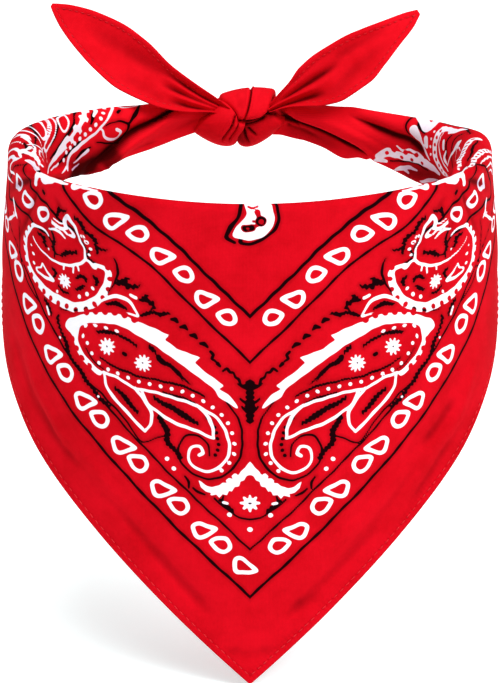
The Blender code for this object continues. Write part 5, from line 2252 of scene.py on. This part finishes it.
def add_node(
    tree: Tree,
    kind: str,
    settings: dict[str, object] | None = None,
    values: dict[str | int, object] | None = None,
    links: dict[str | int, Socket] | None = None,
) -> bpy.types.Node:
    """Adds a node with its settings and links.

    Args:
        tree: The tree that gets the node.
        kind: The node's type.
        settings: The node's own properties.
        values: What unlinked inputs are set to.
        links: The outputs that feed its inputs.

    Returns:
        The node.
    """
    node = tree.nodes.new(kind)
    for name, value in (settings or {}).items():
        setattr(node, name, value)
    for name, value in (values or {}).items():
        node.inputs[name].default_value = value
    for name, source in (links or {}).items():
        tree.links.new(source, node.inputs[name])
    return node


def empty_material(name: str) -> bpy.types.Material:
    """A new material with no nodes."""
    material = bpy.data.materials.new(name)
    material.use_nodes = True
    material.node_tree.nodes.clear()
    return material


@dataclass(frozen=True)
class Cotton:
    """Plain-weave cotton in dyed red: matt, with a fine crossed thread and a little fuzz at grazing angles.

    Attributes:
        name: The finish's name.
        printed: Whether it reads the two inks.
        red: The dye, and deep_red where it took more. The brighter red over the bands' inner legs towards
            the knot is painted light, where little light gets inside the ring.
        halo_red: The dye round the black ink, out to halo millimetres and mixed in by halo_share.
        fold_shade_red: What the colour is multiplied by deep in a fold and along the listed shade paths, by
            fold_shade: painted shade.
        thread_pitch: From one thread to the next. Real ones are 0.35 mm apart, too fine to show, so they
            are drawn at about twice that.
        edge: How soft the inks' edges are, in millimetres.
    """

    name: str
    printed: bool = True
    red: str = "d20f24"
    deep_red: str = "ba0919"
    # painted light: the brighter red laid over the bands' inner legs towards the knot
    painted_light_red: str = "e4182a"
    halo_red: str = "74040f"
    # painted shade: the dark red that the folds multiply the colour by
    fold_shade_red: str = "3a0408"
    white: str = "eeeaf4"
    shaded_white: str = "b98fae"
    black: str = "1d0208"
    cloud_scale: float = 38.0
    slub_scale: float = 0.55
    thread_pitch: float = 0.75
    weave_height: float = 0.05
    weave_share: float = 0.75
    edge: float = 0.12
    halo: float = 1.7
    halo_share: float = 0.34
    # how strong the painted shade in the folds is
    fold_shade: float = 0.76
    roughness: float = 0.82
    sheen: float = 0.02

    def material(self) -> bpy.types.Material:
        """Builds the material."""
        material = empty_material(self.name)
        tree = material.node_tree
        thread = add_node(tree, READ, {"attribute_name": "thread"})
        height, weave = self.weave(tree, thread.outputs["Vector"])
        place = add_node(tree, "ShaderNodeTexCoord").outputs["Object"]
        clouds = {"Scale": self.cloud_scale, "Detail": 6.0, "Roughness": 0.68}
        cloudy = add_node(tree, NOISE, {}, clouds, {"Vector": place}).outputs["Fac"]
        reds = {FIRST: linear(self.deep_red), SECOND: linear(self.red)}
        uneven = self.stretch(tree, cloudy, 0.25, 0.7)
        colour = add_node(tree, MIX, BLEND, reds, {SHARE: uneven}).outputs[RESULT]
        # Painted shade: the hollow attribute darkens the colour deep in folds and along the listed shade
        # paths.
        folds = add_node(tree, READ, {"attribute_name": "hollow"}).outputs["Fac"]
        depth = add_node(tree, MATH, TIMES, {1: self.fold_shade}, {0: folds}).outputs[0]
        if self.printed:
            # Painted light: the bands' inner legs towards the knot are mixed to a brighter red.
            back = add_node(tree, READ, {"attribute_name": "painted_light"}).outputs["Fac"]
            pale = {SECOND: linear(self.painted_light_red)}
            colour = add_node(tree, MIX, BLEND, pale, {SHARE: back, FIRST: colour}).outputs[RESULT]
        dark = {SECOND: linear(self.fold_shade_red)}
        colour = add_node(tree, MIX, DARKEN, dark, {SHARE: depth, FIRST: colour}).outputs[RESULT]
        if self.printed:
            colour = self.print_inks(tree, colour, depth)
        share = {SHARE: self.weave_share}
        woven = add_node(tree, MIX, DARKEN, share, {FIRST: colour, SECOND: weave}).outputs[RESULT]
        relief = {"Strength": 0.5, "Distance": self.weave_height * MM}
        bumped = add_node(tree, "ShaderNodeBump", {}, relief, {"Height": height}).outputs[0]
        gloss = {"Roughness": self.roughness, "IOR": 1.45, "Specular IOR Level": 0.05}
        fuzz = {"Sheen Weight": self.sheen, "Sheen Roughness": 0.45, "Sheen Tint": linear("ff6060")}
        shader = add_node(tree, PRINCIPLED, {}, {**gloss, **fuzz}, {"Base Color": woven, "Normal": bumped})
        add_node(tree, "ShaderNodeOutputMaterial", links={"Surface": shader.outputs[0]})
        return material

    def print_inks(self, tree: Tree, colour: Socket, depth: Socket) -> Socket:
        """Lays the black ink, with darker dye round it, and then the white ink over the dye. Deep in folds
        the white ink is mixed towards shaded_white, as painted shade.
        """
        inks = ((Colour.BLACK, self.black, self.black), (Colour.WHITE, self.white, self.shaded_white))
        for ink, lit, shaded in inks:
            distance = add_node(tree, READ, {"attribute_name": ink.value}).outputs["Fac"]
            if ink is Colour.BLACK:
                near = self.stretch(tree, distance, self.halo, 0.0)
                share = add_node(tree, MATH, TIMES, {1: self.halo_share}, {0: near}).outputs[0]
                halo = {SECOND: linear(self.halo_red)}
                colour = add_node(tree, MIX, BLEND, halo, {SHARE: share, FIRST: colour}).outputs[RESULT]
            cover = self.stretch(tree, distance, self.edge, -self.edge)
            tones = {FIRST: linear(lit), SECOND: linear(shaded)}
            ink_colour = add_node(tree, MIX, BLEND, tones, {SHARE: depth}).outputs[RESULT]
            over = {SHARE: cover, FIRST: colour, SECOND: ink_colour}
            colour = add_node(tree, MIX, BLEND, {}, over).outputs[RESULT]
        return colour

    def stretch(self, tree: Tree, value: Socket, low: float, high: float) -> Socket:
        """Maps low to 0 and high to 1, smoothly."""
        span = {"From Min": low, "From Max": high, "To Min": 0.0, "To Max": 1.0}
        return add_node(tree, RANGE, {"interpolation_type": "SMOOTHSTEP"}, span, {"Value": value}).outputs[0]

    def weave(self, tree: Tree, place: Socket) -> tuple[Socket, Socket]:
        """The height of the crossed threads, and a tone from it: the slubs' own unevenness, with painted
        shade between the threads and painted light on their tops.
        """
        split = add_node(tree, "ShaderNodeSeparateXYZ", links={0: place})
        waves = []
        for axis in (0, 1):
            turn = add_node(tree, MATH, TIMES, {1: 2 * pi / self.thread_pitch}, {0: split.outputs[axis]})
            waves.append(add_node(tree, MATH, {"operation": "SINE"}, links={0: turn.outputs[0]}).outputs[0])
        crossed = add_node(tree, MATH, TIMES, links={0: waves[0], 1: waves[1]}).outputs[0]
        uneven = {"Scale": self.slub_scale, "Detail": 4.0, "Roughness": 0.65}
        slubs = add_node(tree, NOISE, {}, uneven, {"Vector": place}).outputs["Fac"]
        height = add_node(tree, MATH, {"operation": "ADD"}, links={0: crossed, 1: slubs}).outputs[0]
        span = {"From Min": -0.6, "From Max": 1.6, "To Min": 0.84, "To Max": 1.08}
        tone = add_node(tree, RANGE, {}, span, {"Value": height}).outputs[0]
        shade = add_node(tree, "ShaderNodeCombineColor", links={"Red": tone, "Green": tone, "Blue": tone})
        return height, shade.outputs[0]


@dataclass(frozen=True)
class Thread:
    """Spun polyester sewing thread: the same red, smoother and a touch brighter than the cloth."""

    name: str = "polyester_sewing_thread"
    red: str = "de1a2a"
    deep_red: str = "b80516"
    twist_scale: float = 900.0
    roughness: float = 0.55

    def material(self) -> bpy.types.Material:
        """Builds the material."""
        material = empty_material(self.name)
        tree = material.node_tree
        place = add_node(tree, "ShaderNodeTexCoord").outputs["Object"]
        twist = add_node(tree, NOISE, {}, {"Scale": self.twist_scale, "Detail": 2.0}, {"Vector": place})
        reds = {FIRST: linear(self.deep_red), SECOND: linear(self.red)}
        tone = add_node(tree, MIX, BLEND, reds, {SHARE: twist.outputs["Fac"]}).outputs[RESULT]
        gloss = {"Roughness": self.roughness, "Specular IOR Level": 0.3, "Sheen Weight": 0.1}
        shader = add_node(tree, PRINCIPLED, {}, gloss, {"Base Color": tone})
        add_node(tree, "ShaderNodeOutputMaterial", links={"Surface": shader.outputs[0]})
        return material


# ------------------------------------------------------------------------------------------- stitches


@dataclass(frozen=True)
class StitchTree:
    """Geometry Nodes that lay short stitches of thread along a path."""

    pitch: float = 3.3
    length: float = 2.3
    thickness: float = 0.5
    shortest: float = 0.86
    longest: float = 1.1
    seed: int = 7

    def tree(self) -> Tree:
        """Builds the node tree with its named inputs."""
        tree = bpy.data.node_groups.new("hem_stitches", "GeometryNodeTree")
        sizes = [(name, "Float") for name in ("Pitch", "Stitch length", "Thread thickness")]
        for name, kind in (("Path", "Geometry"), *sizes, ("Thread", "Material")):
            tree.interface.new_socket(name, in_out="INPUT", socket_type="NodeSocket" + kind)
        tree.interface.new_socket("Stitches", in_out="OUTPUT", socket_type="NodeSocketGeometry")
        given = add_node(tree, "NodeGroupInput").outputs
        curve = add_node(tree, "GeometryNodeMeshToCurve", links={"Mesh": given["Path"]}).outputs["Curve"]
        run = {"Curve": curve, "Length": given["Pitch"]}
        dots = add_node(tree, "GeometryNodeCurveToPoints", {"mode": "LENGTH"}, links=run).outputs
        unit = {"Subdivisions": 1, "Radius": 0.5}
        ball = add_node(tree, "GeometryNodeMeshIcoSphere", {}, unit).outputs["Mesh"]
        span = {2: self.shortest, 3: self.longest, "Seed": self.seed}
        uneven = add_node(tree, "FunctionNodeRandomValue", {"data_type": "FLOAT"}, span).outputs[1]
        long = add_node(tree, MATH, TIMES, links={0: given["Stitch length"], 1: uneven}).outputs[0]
        thick = given["Thread thickness"]
        size = add_node(tree, "ShaderNodeCombineXYZ", links={"X": thick, "Y": thick, "Z": long}).outputs[0]
        spots = {"Points": dots["Points"], "Instance": ball, "Rotation": dots["Rotation"], "Scale": size}
        laid = add_node(tree, "GeometryNodeInstanceOnPoints", links=spots).outputs[0]
        real = add_node(tree, "GeometryNodeRealizeInstances", links={"Geometry": laid}).outputs[0]
        dress = {"Geometry": real, "Material": given["Thread"]}
        dressed = add_node(tree, "GeometryNodeSetMaterial", links=dress).outputs[0]
        add_node(tree, "NodeGroupOutput", links={"Stitches": dressed})
        return tree

    def sew(self, name: str, lines: Sequence[Points], thread: bpy.types.Material) -> bpy.types.Object:
        """Sews along lines.

        Args:
            name: The new piece's name.
            lines: The lines' points, in millimetres.
            thread: The stitches' finish.

        Returns:
            A plain mesh of all the stitches.
        """
        points = np.concatenate(lines) * MM
        edges, start = [], 0
        for line in lines:
            edges += [(start + i, start + i + 1) for i in range(len(line) - 1)]
            start += len(line)
        mesh = bpy.data.meshes.new(name + "_path")
        mesh.from_pydata(points.tolist(), edges, [])
        path = bpy.data.objects.new(name + "_path", mesh)
        bpy.context.scene.collection.objects.link(path)
        tree = self.tree()
        modifier = path.modifiers.new("stitches", "NODES")
        modifier.node_group = tree
        given = {"Pitch": self.pitch * MM, "Stitch length": self.length * MM}
        given |= {"Thread thickness": self.thickness * MM, "Thread": thread}
        for item in tree.interface.items_tree:
            if item.name in given:
                modifier[item.identifier] = given[item.name]
        sewn = bpy.data.meshes.new_from_object(path.evaluated_get(bpy.context.evaluated_depsgraph_get()))
        path.modifiers.clear()
        bpy.data.objects.remove(path)
        piece = bpy.data.objects.new(name, sewn)
        bpy.context.scene.collection.objects.link(piece)
        sewn.shade_smooth()
        return piece


# --------------------------------------------------------------------------------------- the studio


class Lamp(NamedTuple):
    """A square soft light: its place, its size in metres and its power in watts."""

    name: str
    place: tuple[float, float, float]
    size: float
    power: float


@dataclass(frozen=True)
class Studio:
    """A white floor, soft light and the camera."""

    target: tuple[float, float, float] = (0.0, 0.0, -0.0925)
    distance: float = 1.1447
    elevation: float = 22.0
    lens: float = 198.26
    floor_level: float = -0.2065
    floor_size: float = 12.0
    floor_white: str = "eefafa"
    floor_roughness: float = 0.9
    floor_glow: float = 0.29
    air: float = 0.47
    lamps: tuple[Lamp, ...] = (
        Lamp("key", (2.1, -1.6, 2.8), 1.5, 64.0),
        Lamp("overhead", (-0.2, -1.2, 3.6), 1.6, 52.0),
        Lamp("front", (-0.3, -3.4, 1.4), 1.6, 9.0),
    )

    def build(self) -> None:
        """Sets up the stage."""
        scene = bpy.context.scene
        scene.view_settings.view_transform = "Standard"
        scene.view_settings.look = "Medium High Contrast"
        self.floor()
        world = bpy.data.worlds.new("studio")
        world.use_nodes = True
        background = world.node_tree.nodes["Background"].inputs
        background["Color"].default_value = linear("ffffff")
        background["Strength"].default_value = self.air
        scene.world = world
        for lamp in self.lamps:
            self.light(lamp)
        back = Vector((0, -cos(radians(self.elevation)), sin(radians(self.elevation))))
        camera = bpy.data.objects.new("camera", bpy.data.cameras.new("camera"))
        camera.location = Vector(self.target) + back * self.distance
        camera.rotation_euler = back.to_track_quat("Z", "Y").to_euler()
        camera.data.sensor_fit = "HORIZONTAL"
        camera.data.sensor_width = 36.0
        camera.data.lens = self.lens
        scene.collection.objects.link(camera)
        scene.camera = camera

    def floor(self) -> None:
        """The floor under the tip, of matt white paper: an even white with no gloss."""
        half = self.floor_size / 2
        corners = [(x * half, y * half, self.floor_level) for x, y in ((-1, -1), (1, -1), (1, 1), (-1, 1))]
        mesh = bpy.data.meshes.new("floor")
        mesh.from_pydata(corners, [], [(0, 1, 2, 3)])
        floor = bpy.data.objects.new("floor", mesh)
        bpy.context.scene.collection.objects.link(floor)
        material = bpy.data.materials.new("matt_white_paper")
        material.use_nodes = True
        shader = material.node_tree.nodes["Principled BSDF"].inputs
        shader["Base Color"].default_value = linear(self.floor_white)
        shader["Roughness"].default_value = self.floor_roughness
        shader["Emission Color"].default_value = linear("ffffff")
        shader["Emission Strength"].default_value = self.floor_glow
        mesh.materials.append(material)

    def light(self, row: Lamp) -> None:
        """Sets up one light that looks at the ring."""
        lamp = bpy.data.objects.new(row.name, bpy.data.lights.new(row.name, "AREA"))
        lamp.data.size = row.size
        lamp.data.energy = row.power
        lamp.location = row.place
        lamp.rotation_euler = (Vector(row.place) - Vector(self.target)).to_track_quat("Z", "Y").to_euler()
        bpy.context.scene.collection.objects.link(lamp)


# ------------------------------------------------------------------------------------------ the whole


@dataclass(frozen=True)
class Bandana:
    """The tied bandana."""

    # The face: a soft matt red, a little cloudy, under crisp white and near-black print.
    printed: Cotton = Cotton("printed_plain_weave_cotton")
    # The back of the cloth, which shows at the knot and the hems: the same cloth in a plain red, brighter
    # than the face as painted light, since these parts get less light than the front.
    plain: Cotton = Cotton("plain_weave_cotton", printed=False, red="e4182a", deep_red="cc0f1e")
    # The hems' seams: a row of small red glints.
    thread: Thread = Thread()
    stitch_depth: float = 2.9
    stitch_lift: float = 0.12

    def build(self) -> None:
        """Makes every piece and its stitches, dresses them and hangs them under the root body."""
        printed, plain, thread = self.printed.material(), self.plain.material(), self.thread.material()
        bib = Bib()
        self.trim(StitchTree().sew("hem_stitches", [self.hem_line(side) for side in (-1, 1)], thread))
        front = bib.ply("bib_front", bib.half_width, bib.step, bib.top, bib.coarse, 0.0)
        behind = (bib.back_half_width, bib.back_step, bib.back_top, bib.back_coarse, bib.back_set)
        back = bib.ply("bib_back", *behind)
        Seat(Node.BIB, "cotton", (0.209, 0.2124), "draped", 0.0335).declare(front, printed)
        Seat(Node.BIB, "cotton", (0.209, 0.088), "folded").declare(bib.leg(), printed)
        Seat(Node.BIB, "cotton", (0.296, 0.168), "draped", 0.0284).declare(back, printed)
        for band in (Band(-1, Node.BAND_LEFT, LEFT_BAND_PRINT), Band(1, Node.BAND_RIGHT, RIGHT_BAND_PRINT)):
            Seat(band.node, "cotton", (0.160, 0.156), "gathered", 0.0165).declare(band.build(), printed)
        for hem in (HemStrip(-1, Node.HEM_LEFT), HemStrip(1, Node.HEM_RIGHT)):
            Seat(hem.node, "hem", (0.223, 0.010), "folded", 0.0012).declare(hem.build(), plain)
        knot = Knot()
        Seat(Node.WRAP, "cotton", (0.066, 0.019), "folded").declare(knot.wrap(), plain)
        for lobe in (LEFT_LOBE, RIGHT_LOBE):
            Seat(lobe.node, "cotton", (0.066, 0.024), "gathered").declare(knot.lobe(lobe), plain)
        for tail in TAILS:
            seat = Seat(tail.node, "cotton", (0.028, 0.083), "gathered", 0.0013)
            piece = seat.declare(tail.build(), plain)
            self.trim(TAIL_STITCHES.sew(piece.name + "_stitches", tail.hem_lines(), thread))

    def trim(self, stitches: bpy.types.Object) -> None:
        """Hangs stitches under the root body and logs their size."""
        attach(stitches, "root")
        LOG.info("%s: %d faces", stitches.name, len(stitches.data.polygons))

    def hem_line(self, side: int) -> Points:
        """The stitch line up one side of the front, from the tip."""
        q = side * np.linspace(1.5, 150, 300)
        return DRAPE.surface(q, BIB_DROP - np.abs(q) - self.stitch_depth * sqrt(2), self.stitch_lift)


TAIL_STITCHES = StitchTree(pitch=2.7, length=1.8, thickness=0.42)


def main() -> None:
    """Builds the bandana and its studio."""
    logging.basicConfig(level=logging.INFO, format="%(name)s: %(message)s")
    Bandana().build()
    Studio().build()


if __name__ == "__main__":
    main()
